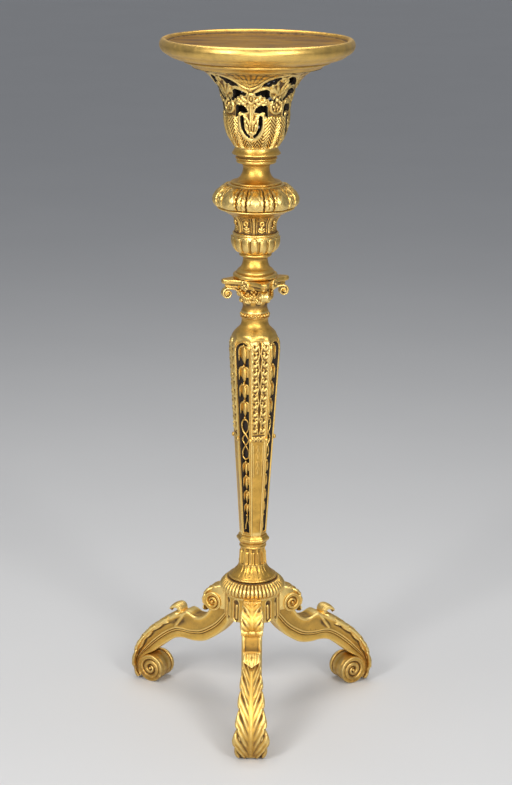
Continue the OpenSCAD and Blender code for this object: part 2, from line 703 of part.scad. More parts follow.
// A corner volute: a stem from the drum to a scroll under the corner of the abacus
module volute(i) {
    r = volute_d / 2;
    d = drum_d / 2;
    eye = [abacus_d * 0.4, z_abacus - fit - r];
    color(gilt) rotate([0, 0, volute_angle(i)]) difference() {
        union() {
            in_leg_plane(volute_w) polygon(concat([[0, z_abacus - fit], [eye[0], z_abacus - fit]],
                arc(eye, r, 90, -150, 16),
                curve(eye + r * [cos(-150), sin(-150)], eye + r * [-1.1, 0.5], [d + 6, z_abacus - 9],
                    [d * 0.5, z_drum + drum_h * 0.35])));
            translate([eye[0], 0, eye[1]]) rotate([90, 0, 0])
                cylinder(r = r * 0.32, h = volute_w + 4, center = true, $fn = 24);
        }
        cylinder(r = d + fit, h = z_plinth, $fn = 96);
    }
}

// The flower in the middle of one side of the abacus: five petals round a boss
module fleuron(i) {
    r = fleuron_d / 2;
    color(gilt) rotate([0, 0, volute_angle(i) + 45]) translate([side_r - 3 + fit, 0, z_abacus + abacus_h / 2])
        rotate([0, 90, 0]) union() {
            linear_extrude(7) polygon([for (k = [0:39]) let (a = 9 * k)
                r * (0.7 + 0.3 * abs(sin(2.5 * a))) * [cos(a), sin(a)]]);
            cylinder(r = r * 0.4, h = 10, $fn = 24);
        }
}

// A swag of fruit and leaves that hangs across one side of the drum, between two volutes
module festoon(i) {
    r = swag_d / 2;
    reach = drum_d / 2 + r + fit;
    count = 7;
    spread = 44 - atan((volute_w / 2 + r + 1) / reach);
    color(gilt) difference() {
        for (j = [0:count - 1]) let (u = 2 * j / (count - 1) - 1)
            rotate([0, 0, volute_angle(i) + 45 + u * spread])
                translate([reach - 0.5, 0, z_drum + drum_h * (0.3 + 0.35 * u * u)])
                    sphere(r = r * (1.2 - 0.25 * abs(u)), $fn = 24);
        cylinder(r = drum_d / 2 + fit, h = z_plinth, $fn = 96);
    }
}

// ---- Plinth, cup and frieze ----

// Radius at which the cup sits on the plinth
cup_foot_r = cup_d / 2 - 15;

module plinth() {
    r = plinth_d / 2;
    base_h = 10;
    step_r = r - 8;
    step_z = base_h + 7;
    waist = slim_neck_d / 2 - 2;
    seat_h = 8;
    outline = concat([[r - 3, 0]], torus(r - 4, 0, base_h, 4),
        [[step_r, base_h + 1], [step_r, step_z], [step_r - 3, step_z + 2]],
        curve([step_r - 3, step_z + 2], [step_r - 9, step_z + 3], [waist, step_z + 10],
            [waist, plinth_h - seat_h - 3]),
        torus(cup_foot_r - 3, plinth_h - seat_h, plinth_h, 3));
    color(gilt) turned(z_plinth, plinth_h, outline);
}

module vase_cup() {
    r = cup_d / 2;
    neck = frieze_d / 2 + 3;
    profile = concat([[cup_foot_r, z_cup, 0]],
        [for (p = curve([cup_foot_r + 3, 1], [r - 2, 4], [r + 2, cup_h * 0.45], [r - 1, cup_h * 0.75], 6))
            [p[0], z_cup + p[1], 4.5]],
        [[neck + 2, z_frieze - 2, 1], [neck, z_frieze, 0]]);
    color(gilt) difference() {
        union() {
            rotate([0, 0, front + cup_turn - 180 / cup_lobes]) lobed(profile, cup_lobes, 6);
            translate([0, 0, z_frieze - 3]) cylinder(r = spigot_r, h = spigot_len + 3, $fn = 48);
        }
        translate([0, 0, z_cup - 1]) cylinder(r = socket_r, h = spigot_len + 2, $fn = 48);
    }
}

// The frieze's outline from its foot up, with each radius grown by g
function frieze_outline(g) = let (r = frieze_d / 2 + g, flare_z = frieze_h - 16)
    concat([[r + 3, 0], [r + 3, 4], [r, 6]],
        curve([r, flare_z], [r + 1, frieze_h - 8], [r + 6, frieze_h - 4], [r + 12, frieze_h], 5));

module at_bay(i) {
    rotate([0, 0, front + frieze_turn + i * 360 / frieze_count]) translate([frieze_d / 2, 0, z_frieze])
        children();
}

module frieze() {
    bar = [7, 6, frieze_h - 18];
    color(gilt) union() {
        turned(z_frieze, frieze_h, frieze_outline(0));
        for (i = [0:frieze_count - 1]) at_bay(i + 0.5) translate([-4, -bar[1] / 2, 5]) cube(bar);
    }
}

module frieze_rosettes() {
    r = rosette_d / 2;
    root = 3;
    color(gilt) difference() {
        for (i = [0:frieze_count - 1]) at_bay(i) translate([-root, 0, frieze_h * 0.64]) rotate([0, 90, 0])
            union() {
                cylinder(r = r, h = root + 5, $fn = 32);
                cylinder(r = r * 0.4, h = root + 7, $fn = 24);
            }
        translate([0, 0, z_frieze]) rotate_extrude($fn = 72)
            polygon(concat([[0, 0]], frieze_outline(fit), [[0, frieze_h]]));
    }
}

// ---- Knop, neck and ring ----

module knop() {
    r = knop_d / 2;
    under = frieze_d / 2 + 13;
    top = neck_foot_r + 1;
    profile = concat([[under, z_knop, 0]],
        [for (p = curve([under + 8, 2], [r - 14, 6], [r - 10, knop_h * 0.18], [r - 11, knop_h * 0.24], 4))
            [p[0], z_knop + p[1], 3]],
        [for (p = curve([r - 8, knop_h * 0.3], [r + 3, knop_h * 0.5], [r - 2, knop_h * 0.78],
            [top + 6, knop_h - 3], 7)) [p[0], z_knop + p[1], 7]],
        [[top, z_neck - 1, 1], [top, z_neck, 0]]);
    color(gilt) difference() {
        union() {
            rotate([0, 0, front + knop_turn - 180 / knop_lobes]) lobed(profile, knop_lobes, 8);
            translate([0, 0, z_neck - 3]) cylinder(r = spigot_r, h = spigot_len + 3, $fn = 48);
        }
        translate([0, 0, z_knop - 1]) cylinder(r = socket_r, h = spigot_len + 2, $fn = 48);
    }
}

// Radius of the neck where it spreads over the knop
neck_foot_r = neck_d / 2 + 24;

module neck() {
    r = neck_d / 2;
    waist_z = neck_h - 18;
    bead_z = neck_h - 8;
    outline = concat([[neck_foot_r, 0], [neck_foot_r, 2]],
        curve([neck_foot_r - 1, 3], [r + 6, 8], [r, 14], [r, waist_z]),
        curve([r, waist_z], [r, bead_z - 3], [r + 4, bead_z - 1], [r + 8, bead_z], 4),
        torus(r + 10, bead_z, neck_h, 3));
    color(gilt) turned(z_neck, neck_h, outline, spigot = neck_ring_h + spigot_len);
}

module neck_ring() {
    r = neck_ring_d / 2;
    low = neck_d / 2 + 12;
    outline = concat(level_to_upright([low, 0], [r - 1, neck_ring_h * 0.42]), [[r, neck_ring_h * 0.48],
        [r, neck_ring_h * 0.58], [bell_foot_d / 2 - 2, neck_ring_h]]);
    color(gilt) turned_ring(z_neck_ring, neck_ring_h, outline);
}

// ---- Bell and tray ----

tongue_h = 5;
tongue_w = 4;
rim_r = bell_rim_d / 2;
// The bell's outside, from its foot up
bell_outside = concat(
    curve([bell_foot_d / 2, 0], [bell_foot_d / 2 + 1, bell_h * 0.08], [bell_waist_d / 2, bell_h * 0.14],
        [bell_waist_d / 2, bell_h * 0.4], 8),
    upright_to_level([bell_waist_d / 2, bell_h * 0.42], [rim_r, bell_h], 12));

// A point of the bell's ornament: `side` is a share of the waist's radius and `up` of the height
function bell_point(side, up) = [side * bell_waist_d / 2, z_bell + up * bell_h];

// The pierced ground round one hanging flower: a U under it, and four openings at each side
module bell_piercing() {
    middle = bell_point(0, 0.31);
    outer = bell_waist_d * 0.162;
    difference() {
        union() {
            translate(middle) circle(r = outer, $fn = 48);
            translate(middle - [outer, 0]) square([outer * 2, bell_h * 0.11]);
        }
        translate(middle) circle(r = outer - u_slot_w, $fn = 48);
        translate(middle - [outer - u_slot_w, 0]) square([(outer - u_slot_w) * 2, bell_h * 0.12]);
    }
    for (side = [-1, 1]) scale([side, 1]) {
        polygon([bell_point(0.1, 0.505), bell_point(0.34, 0.585), bell_point(0.43, 0.54),
            bell_point(0.43, 0.47), bell_point(0.3, 0.475)]);
        polygon([bell_point(0.14, 0.73), bell_point(0.5, 0.755), bell_point(0.54, 0.7),
            bell_point(0.59, 0.63), bell_point(0.44, 0.65), bell_point(0.4, 0.69), bell_point(0.23, 0.69)]);
        polygon([bell_point(0.48, 0.82), bell_point(0.8, 0.92), bell_point(0.86, 0.86),
            bell_point(0.76, 0.825)]);
    }
}

module bell() {
    inside = [for (p = bell_outside) if (p[1] > bell_floor) [p[0] - bell_wall, p[1]]];
    color(gilt) difference() {
        union() {
            translate([0, 0, z_bell]) rotate_extrude($fn = 96) polygon(concat(
                [[0, spigot_len + 1], [socket_r, spigot_len + 1], [socket_r, 0]], bell_outside,
                reversed(inside), [[inside[0][0], bell_floor], [0, bell_floor]]));
            translate([0, 0, z_tray_ring - 2]) rotate_extrude($fn = 96)
                translate([rim_r - bell_wall / 2 - tongue_w / 2, 0]) square([tongue_w, tongue_h + 2]);
        }
        for (i = [0:bell_motifs - 1]) rotate([90, 0, bell_turn + i * 360 / bell_motifs])
            linear_extrude(bell_rim_d) bell_piercing();
    }
}

screw_circle_r = rim_r - bell_wall - 10;
module screw_shape(grow) {
    head_h = screw_d * 0.7;
    cylinder(r1 = screw_d + grow, r2 = screw_d / 2 + grow, h = head_h, $fn = 32);
    cylinder(d = screw_d + 2 * grow, h = tray_ring_h + tray_h * 0.4 + grow, $fn = 32);
}

module each_screw() {
    for (i = [0:screw_count - 1]) rotate([0, 0, (i + 0.5) * 360 / screw_count])
        translate([screw_circle_r, 0, z_tray_ring]) children();
}

module tray_ring() {
    r = tray_ring_d / 2;
    bore_r = screw_circle_r - 10;
    color(gilt) difference() {
        translate([0, 0, z_tray_ring]) rotate_extrude($fn = 96) polygon(concat([[bore_r, 0]],
            level_to_upright([rim_r + 1, 0], [r, tray_ring_h - 4]), [[r, tray_ring_h], [bore_r, tray_ring_h]]));
        translate([0, 0, z_tray_ring - 1]) rotate_extrude($fn = 96)
            translate([rim_r - bell_wall / 2 - tongue_w / 2 - fit, 0])
                square([tongue_w + 2 * fit, tongue_h + 1 + fit]);
        each_screw() screw_shape(fit);
    }
}

module tray_screws() {
    color(iron) each_screw() screw_shape(0);
}

module tray() {
    r = tray_d / 2;
    outline = concat([[tray_ring_d / 2 + 2, 0]],
        curve([tray_ring_d / 2 + 2, 1], [r - 34, 1], [r - 22, tray_h * 0.12], [r - 15, tray_h * 0.22], 5),
        [[r - 13, tray_h * 0.26]],
        curve([r - 13, tray_h * 0.28], [r - 3, tray_h * 0.3], [r, tray_h * 0.5], [r, tray_h * 0.68], 6),
        curve([r, tray_h * 0.7], [r, tray_h * 0.9], [r - rim_w * 0.3, tray_h], [r - rim_w * 0.55, tray_h], 5),
        curve([r - rim_w * 0.6, tray_h], [r - rim_w * 0.9, tray_h], [r - rim_w, tray_h - dish_depth * 0.5],
            [r - rim_w - 2, tray_h - dish_depth], 5));
    color(gilt) difference() {
        translate([0, 0, z_tray]) rotate_extrude($fn = 120)
            polygon(concat([[0, 0]], outline, [[0, tray_h - dish_depth]]));
        each_screw() screw_shape(fit);
    }
}

tray();
tray_ring();
tray_screws();
bell();
neck_ring();
neck();
knop();
frieze();
frieze_rosettes();
vase_cup();
plinth();
abacus();
capital_necking();
bead_ring();
shaft_shoulder();
shaft_core();
shaft_buttons();
shaft_collar();
lower_neck();
hub_cap();
gadroon_ring();
hub();
leg_pegs();
for (i = [0:3]) {
    volute(i);
    fleuron(i);
    festoon(i);
    pilaster(i);
    panel(i);
    husk_string(i);
}
for (i = [0:legs - 1]) {
    leg(i);
    knee_leaf(i);
}
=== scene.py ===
# %% [markdown]
# # A giltwood candle stand
# The stand is a stack of turned and carved lengths of wood under gold leaf: a dished tray, a pierced
# bell, a knop, a small capital, a tapered pierced shaft, and a fluted hub on three scrolled legs.
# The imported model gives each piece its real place. This lesson dresses the pieces one after another.
# It could be sculpted by hand, but turning and carving follow rules, so most pieces are outlines that
# are spun round the column, with the carving added as a height over the surface.

import math

import bpy
import numpy as np
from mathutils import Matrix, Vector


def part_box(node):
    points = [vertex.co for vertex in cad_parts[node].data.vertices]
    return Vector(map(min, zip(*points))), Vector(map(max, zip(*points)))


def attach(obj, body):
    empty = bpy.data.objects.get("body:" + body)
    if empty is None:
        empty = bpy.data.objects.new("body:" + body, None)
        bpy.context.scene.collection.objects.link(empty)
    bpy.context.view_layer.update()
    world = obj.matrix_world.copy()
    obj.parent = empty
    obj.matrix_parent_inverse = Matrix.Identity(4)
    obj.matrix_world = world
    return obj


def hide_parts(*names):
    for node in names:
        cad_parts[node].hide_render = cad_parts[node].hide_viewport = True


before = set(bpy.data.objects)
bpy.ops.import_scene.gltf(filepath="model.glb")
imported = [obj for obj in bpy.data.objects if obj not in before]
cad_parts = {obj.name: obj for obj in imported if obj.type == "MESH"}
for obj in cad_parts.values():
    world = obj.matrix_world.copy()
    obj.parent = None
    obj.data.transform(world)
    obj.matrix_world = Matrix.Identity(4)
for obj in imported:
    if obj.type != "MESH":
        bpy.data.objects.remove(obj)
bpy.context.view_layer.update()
MM = 0.001


def foot(node):
    """Height of a node's lowest point, in millimetres."""
    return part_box(node)[0][2] / MM


def head(node):
    """Height of a node's highest point, in millimetres."""
    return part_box(node)[1][2] / MM


print("nodes in the frame:", len(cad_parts))
print("height of the stand in mm:", round(head("tray")))

# %% [markdown]
# ## The camera
# The picture is taken from a standing photographer's height, a good way back, looking down a little.
# A long lens keeps the column straight. The camera could be aimed with a constraint, but three plain
# numbers are easier to keep: how far it stands, how high it is, and how much it tips. It looks at the
# side of the stand that faces -Y, and FRONT is that side's angle in degrees.

# %% The camera
FRONT = -90
EYE_HEIGHT = 1.778
EYE_DISTANCE = 3.824
EYE_ASIDE = 0.0037
LOOK_DOWN = math.radians(15.99)
LEAN = math.radians(0.545)
LENS = 89.9

camera_data = bpy.data.cameras.new("photographer")
camera_data.lens = LENS
camera_data.sensor_width = 36
camera = bpy.data.objects.new("photographer", camera_data)
bpy.context.scene.collection.objects.link(camera)
camera.location = (EYE_ASIDE, -EYE_DISTANCE, EYE_HEIGHT)
camera.rotation_euler = (math.pi / 2 - LOOK_DOWN, 0, 0)
camera.rotation_euler.rotate_axis("Z", LEAN)
bpy.context.scene.camera = camera

# %% [markdown]
# ## The light
# Polished gold shows what is around it more than its own colour. Big soft lamps left and right of the
# camera give the two upright highlights that every round part of the column has. One more in front
# opens the shadows a little, and one above lights the dish. The sky is dim, so that the mouldings keep
# their dark sides, and a pale floor sends light up under the tray.

# %% The light
WARM_WHITE = (1.0, 0.97, 0.92)


def softbox(name, place, aim, size, power):
    """A square area lamp at `place` that points at `aim`."""
    data = bpy.data.lights.new(name, "AREA")
    data.shape = "RECTANGLE"
    data.size, data.size_y = size
    data.energy = power
    data.color = WARM_WHITE
    lamp = bpy.data.objects.new(name, data)
    bpy.context.scene.collection.objects.link(lamp)
    lamp.location = place
    direction = np.array(aim, float) - np.array(place, float)
    across = math.atan2(direction[0], -direction[1])
    down = math.atan2(-direction[2], math.hypot(direction[0], direction[1]))
    lamp.rotation_euler = (math.pi / 2 - down, 0, math.pi + across)
    return lamp


softbox("key_left", place=(-1.7, -2.3, 2.4), aim=(0, 0, 0.75), size=(0.7, 1.6), power=52)
softbox("key_right", place=(1.5, -2.5, 2.3), aim=(0, 0, 0.75), size=(0.6, 1.6), power=42)
softbox("top_lamp", place=(0.0, 0.4, 3.3), aim=(0, 0, 0.6), size=(2.2, 2.2), power=52)
softbox("front_fill", place=(0.15, -4.2, 1.35), aim=(0, 0, 0.6), size=(1.1, 2.0), power=52)

bpy.context.scene.view_settings.view_transform = "Standard"
world = bpy.data.worlds.new("studio")
bpy.context.scene.world = world
world.use_nodes = True
sky = world.node_tree.nodes["Background"]
sky.inputs["Color"].default_value = (0.78, 0.80, 0.84, 1)
sky.inputs["Strength"].default_value = 0.34

# %% [markdown]
# ## Gold leaf
# Water gilding is metal leaf over red clay, burnished where the agate can reach and left soft in the
# hollows. Age takes the leaf off the edges and leaves brown grime in the recesses. Each mesh here
# carries an attribute called carve, which is low in a hollow and high on an edge. The material mixes
# its colours by that attribute and by noise. It turns the hollows dark brown, as grime and as painted
# shade, and paints the edges a paler gold as a painted highlight. A painted picture could do it too,
# but the attribute follows any shape that the rules make.

# %% Material helpers


class Shader:
    """Adds nodes to a new material, and links them in plain calls."""

    def __init__(self, name):
        self.material = bpy.data.materials.new(name)
        self.material.use_nodes = True
        self.tree = self.material.node_tree
        self.surface = self.tree.nodes["Principled BSDF"]
        self.place = self.node("ShaderNodeTexCoord").outputs["Object"]

    def node(self, kind, **settings):
        made = self.tree.nodes.new(kind)
        for key, value in settings.items():
            setattr(made, key, value)
        return made

    def put(self, socket, value):
        """Links an output to a socket, or sets the socket's own value."""
        if isinstance(value, bpy.types.NodeSocket):
            self.tree.links.new(value, socket)
        else:
            socket.default_value = value

    def noise(self, scale, detail=3.0, rough=0.55, stretch=(1, 1, 1)):
        """Noise over the object's own coordinates, with about `scale` lumps to the metre."""
        mapping = self.node("ShaderNodeMapping")
        self.put(mapping.inputs["Vector"], self.place)
        mapping.inputs["Scale"].default_value = stretch
        made = self.node("ShaderNodeTexNoise")
        self.put(made.inputs["Vector"], mapping.outputs["Vector"])
        made.inputs["Scale"].default_value = scale
        made.inputs["Detail"].default_value = detail
        made.inputs["Roughness"].default_value = rough
        return made.outputs["Fac"]

    def spread(self, value, low, high, to_low=0.0, to_high=1.0):
        """Stretches the range low..high of a value over to_low..to_high."""
        made = self.node("ShaderNodeMapRange", clamp=True)
        self.put(made.inputs["Value"], value)
        for name, number in zip(("From Min", "From Max", "To Min", "To Max"), (low, high, to_low, to_high)):
            made.inputs[name].default_value = number
        return made.outputs["Result"]

    def math(self, what, a, b):
        made = self.node("ShaderNodeMath", operation=what, use_clamp=True)
        self.put(made.inputs[0], a)
        self.put(made.inputs[1], b)
        return made.outputs["Value"]

    def blend(self, share, a, b):
        """Colour a where share is 0, and colour b where it is 1."""
        made = self.node("ShaderNodeMix", data_type="RGBA")
        self.put(made.inputs["Factor"], share)
        self.put(made.inputs["A"], a)
        self.put(made.inputs["B"], b)
        return made.outputs["Result"]

    def attribute(self, name):
        return self.node("ShaderNodeAttribute", attribute_name=name).outputs["Fac"]

    def bump(self, height, distance, strength=1.0):
        made = self.node("ShaderNodeBump")
        made.inputs["Strength"].default_value = strength
        made.inputs["Distance"].default_value = distance
        self.put(made.inputs["Height"], height)
        self.put(self.surface.inputs["Normal"], made.outputs["Normal"])


# %% Gold leaf
DEEP_GOLD = (0.60, 0.33, 0.064, 1)
GOLD = (0.86, 0.53, 0.115, 1)
EDGE_HIGHLIGHT_GOLD = (0.96, 0.71, 0.26, 1)
RED_CLAY = (0.30, 0.085, 0.028, 1)
OLD_GLAZE = (0.20, 0.085, 0.024, 1)
GRIME_AND_SHADE_BROWN = (0.035, 0.014, 0.006, 1)


def gold_leaf(name, dirt_and_shade=1.0, shine=0.30, wear=0.5, glaze=0.3, deep=0.0, pale=1.0, low_browning=0.0):
    """Aged gold leaf. The first number sets how far the hollows turn dark brown, as grime and as
    painted shade. `wear` bares the clay and `glaze` is old brown varnish. `deep` is the least share of
    full gold over deep gold, `pale` is how far an edge is painted paler gold as a painted highlight that
    also stands for its burnish, and the last number makes the gold darker and browner towards the floor."""
    s = Shader(name)
    carve = s.attribute("carve")
    cloud = s.noise(14, 4)
    blotch = s.noise(95, 5, 0.62)
    grain = s.noise(900, 2, 0.5)
    # Painted shade: where carve finds a hollow the leaf turns dark brown, partly grime and partly the shade
    # that falls there.
    hollow = s.spread(carve, 0.47, 0.47 - 0.30 / dirt_and_shade)
    # Painted highlight: where carve finds an edge the leaf is painted paler gold, which also stands for its
    # burnish.
    crest = s.spread(carve, 0.54, 0.78, 0.0, pale)
    tone = s.math("ADD", s.spread(cloud, 0.35, 0.65, deep, 0.55), s.spread(blotch, 0.3, 0.7, 0.0, 0.45))
    veil = s.spread(s.noise(42, 5, 0.65), 0.42, 0.72, 0.0, glaze)
    leaf = s.blend(crest, s.blend(veil, s.blend(tone, DEEP_GOLD, GOLD), OLD_GLAZE), EDGE_HIGHLIGHT_GOLD)
    bare = s.math("MULTIPLY", s.spread(blotch, 0.60, 0.72), s.spread(cloud, 0.40, 0.62, 0.15, wear))
    # The gold turns darker and browner towards the floor, in blotches.
    if low_browning:
        level = s.node("ShaderNodeSeparateXYZ")
        s.put(level.inputs["Vector"], s.place)
        low = s.spread(level.outputs["Z"], 0.10, 0.02, 0.0, low_browning)
        leaf = s.blend(s.math("MULTIPLY", low, s.spread(blotch, 0.35, 0.62, 0.35, 1.0)), leaf, OLD_GLAZE)
    worn = s.blend(bare, leaf, RED_CLAY)
    # The share of grime and painted shade laid into the hollows.
    dirt_and_shade_share = s.math("MULTIPLY", hollow, s.spread(blotch, 0.25, 0.7, 0.70, 1.0))
    s.put(s.surface.inputs["Base Color"], s.blend(dirt_and_shade_share, worn, GRIME_AND_SHADE_BROWN))
    unmetal = s.math("MAXIMUM", s.math("MULTIPLY", bare, 0.8), s.math("MULTIPLY", dirt_and_shade_share, 0.9))
    s.put(s.surface.inputs["Metallic"], s.math("SUBTRACT", 1.0, unmetal))
    rough = s.math("ADD", s.spread(blotch, 0.3, 0.75, shine - 0.05, shine + 0.14),
                   s.math("MULTIPLY", unmetal, 0.35))
    s.put(s.surface.inputs["Roughness"], rough)
    s.bump(s.math("ADD", s.math("MULTIPLY", grain, 0.35), blotch), 0.0006, 0.55)
    return s.material


# Each finish sets how much painted shade its hollows get and how much painted highlight its edges get.
TURNED_GOLD = gold_leaf("burnished_gold_leaf", dirt_and_shade=0.8, shine=0.34, wear=0.55, glaze=0.42, deep=0.6,
                        pale=0.35)
CARVED_GOLD = gold_leaf("carved_gold_leaf", dirt_and_shade=1.7, shine=0.32, wear=0.5, glaze=0.40, deep=0.1, pale=0.9)
LEG_GOLD = gold_leaf("leg_gold_leaf", dirt_and_shade=1.0, shine=0.41, wear=0.7, glaze=0.30, deep=1.0, low_browning=0.6)

# %% [markdown]
# The dish of the tray has lost its shine: candle grease and dusting have left brown bands that follow
# the turning marks. Inside the shaft stands a core painted nearly black, and the same black is painted
# on the walls and backs of the sawn openings as the shade inside them. Pegs are bare wood, and the
# screws are dull iron.

# %% The other finishes


def worn_dish():
    """Brown, rubbed gold in rings round the middle of the dish."""
    s = Shader("worn_dish_gold")
    rings = s.node("ShaderNodeTexWave", wave_type="RINGS", rings_direction="SPHERICAL")
    s.put(rings.inputs["Vector"], s.place)
    rings.inputs["Scale"].default_value = 9
    rings.inputs["Distortion"].default_value = 5
    rings.inputs["Detail"].default_value = 3
    streak = s.noise(9, 5, 0.6, (1, 5, 1))
    blotch = s.noise(60, 5, 0.6)
    banded = s.math("MULTIPLY", rings.outputs["Fac"], 0.35)
    share = s.math("ADD", banded, s.spread(streak, 0.35, 0.68, 0.0, 0.75))
    brown = s.blend(share, (0.16, 0.070, 0.006, 1), (0.48, 0.255, 0.024, 1))
    s.put(s.surface.inputs["Base Color"], s.blend(s.spread(blotch, 0.62, 0.74, 0.0, 0.7), brown, RED_CLAY))
    s.put(s.surface.inputs["Metallic"], s.spread(share, 0.1, 0.9, 0.85, 1.0))
    s.put(s.surface.inputs["Roughness"], s.spread(blotch, 0.3, 0.7, 0.36, 0.52))
    s.bump(blotch, 0.0005, 0.5)
    return s.material


def plain_wood(name, light, dark, rough):
    """Bare or painted wood, with its figure drawn out along the grain."""
    s = Shader(name)
    figure = s.noise(30, 4, 0.6, (1, 1, 0.1))
    s.put(s.surface.inputs["Base Color"], s.blend(figure, light, dark))
    s.surface.inputs["Roughness"].default_value = rough
    s.bump(figure, 0.0004, 0.4)
    return s.material


def dull_iron():
    """Grey iron with brown spots of rust."""
    s = Shader("dull_iron")
    rust = s.noise(400, 4, 0.6)
    iron = s.blend(s.spread(rust, 0.5, 0.7), (0.09, 0.085, 0.08, 1), (0.13, 0.055, 0.03, 1))
    s.put(s.surface.inputs["Base Color"], iron)
    s.surface.inputs["Metallic"].default_value = 0.85
    s.put(s.surface.inputs["Roughness"], s.spread(rust, 0.3, 0.7, 0.42, 0.65))
    return s.material


DISH_GOLD = worn_dish()
# Near-black for the shaft's core, and painted shade on the walls and backs of the sawn openings.
CORE_AND_SHADE_BLACK = plain_wood("dark_core_and_shade", (0.012, 0.008, 0.006, 1), (0.028, 0.018, 0.012, 1), 0.75)
BARE_WOOD = plain_wood("bare_hardwood", (0.42, 0.27, 0.14, 1), (0.28, 0.16, 0.075, 1), 0.6)
IRON = dull_iron()

# %% [markdown]
# ## From numbers to meshes
# Every piece is made of one or more closed shells: arrays of points in millimetres and of faces.
# A shell whose faces point inwards has a negative volume, so each one is measured and turned if need
# be. The carve attribute comes from comparing each point with the average of its neighbours: a point
# below its neighbours lies in a hollow.

# %% Shells


def unit(vectors):
    """The same directions, each of length 1."""
    return vectors / np.maximum(np.linalg.norm(vectors, axis=-1, keepdims=True), 1e-9)


def tube_faces(rows, columns, closed_rows=False):
    """Four-sided faces over a grid of points whose columns meet round the back."""
    i, j = np.meshgrid(np.arange(rows if closed_rows else rows - 1), np.arange(columns), indexing="ij")
    a, b = i * columns + j, i * columns + (j + 1) % columns
    up = ((i + 1) % rows) * columns
    return np.stack([a, b, up + (j + 1) % columns, up + j], -1).reshape(-1, 4)


def fan(ring, middle):
    """Triangles from a ring of point numbers to one in the middle."""
    ring = np.asarray(ring)
    return np.stack([ring, np.roll(ring, -1), np.full(len(ring), middle)], -1)


def triangles(faces):
    """The same faces as one array of triangles."""
    cut = [f if f.shape[1] == 3 else np.concatenate([f[:, [0, 1, 2]], f[:, [0, 2, 3]]]) for f in faces]
    return np.concatenate(cut)


def outward(points, faces):
    """The same faces, turned if the shell's volume comes out negative."""
    t = triangles(faces)
    a, b, c = points[t[:, 0]], points[t[:, 1]], points[t[:, 2]]
    volume = np.einsum("ij,ij->i", a, np.cross(b, c)).sum()
    return faces if volume > 0 else [f[:, ::-1] for f in faces]


def carve_values(points, faces, reach, depth):
    """0 in a hollow, 0.5 on level ground and 1 on an edge, from the average over `reach` steps."""
    t = triangles(faces)
    normal = np.zeros_like(points)
    flat = np.cross(points[t[:, 1]] - points[t[:, 0]], points[t[:, 2]] - points[t[:, 0]])
    for k in range(3):
        for axis in range(3):
            normal[:, axis] += np.bincount(t[:, k], flat[:, axis], len(points))
    a = np.concatenate([t[:, 0], t[:, 1], t[:, 2]])
    b = np.concatenate([t[:, 1], t[:, 2], t[:, 0]])
    count = np.maximum(np.bincount(a, minlength=len(points)), 1)
    average = points.copy()
    for _ in range(reach):
        average = np.stack([np.bincount(a, average[b, axis], len(points)) / count for axis in range(3)], 1)
    return np.clip(0.5 + ((points - average) * unit(normal)).sum(1) / (2 * depth), 0, 1)


def shell_mesh(name, shells, scale, reach, depth, sharp):
    """A mesh from closed shells, with its carve attribute. A shell is (points, groups of faces), and
    may end with the number of the material of each group."""
    points, faces, finish, start = [], [], [], 0
    for shell in shells:
        p, f = np.asarray(shell[0], float), outward(np.asarray(shell[0], float), shell[1])
        points.append(p)
        for group, number in zip(f, shell[2] if len(shell) > 2 else (0,) * len(f)):
            faces.append(group + start)
            finish.append(np.full(len(group), number))
        start += len(p)
    points = np.concatenate(points)
    mesh = bpy.data.meshes.new(name)
    mesh.from_pydata((points * scale).tolist(), [], [face for group in faces for face in group.tolist()])
    mesh.polygons.foreach_set("use_smooth", np.ones(len(mesh.polygons), bool))
    mesh.polygons.foreach_set("material_index", np.concatenate(finish).astype(np.int32))
    mesh.set_sharp_from_angle(angle=math.radians(sharp))
    carve = mesh.attributes.new("carve", "FLOAT", "POINT")
    carve.data.foreach_set("value", carve_values(points, faces, reach, depth).astype(np.float32))
    return mesh


def build(name, shells, materials, slot, nodes, reach=14, depth=1.6, sharp=50):
    """One mesh object from closed shells, ready to ride and to stand for its nodes."""
    mesh = shell_mesh(name, shells, MM, reach, depth, sharp)
    for material in materials:
        mesh.materials.append(material)
    mesh.update()
    piece = bpy.data.objects.new(name, mesh)
    bpy.context.scene.collection.objects.link(piece)
    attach(piece, "root")
    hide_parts(*nodes)
    print(name, "faces:", len(mesh.polygons))
    return piece


# %% [markdown]
# ## Outlines
# A turner thinks in beads, coves and fillets. Here an outline is a list of (radius, height) points
# that a smooth line runs through. A point given twice is a sharp corner, where one moulding stops
# and the next begins.

# %% A smooth line through points


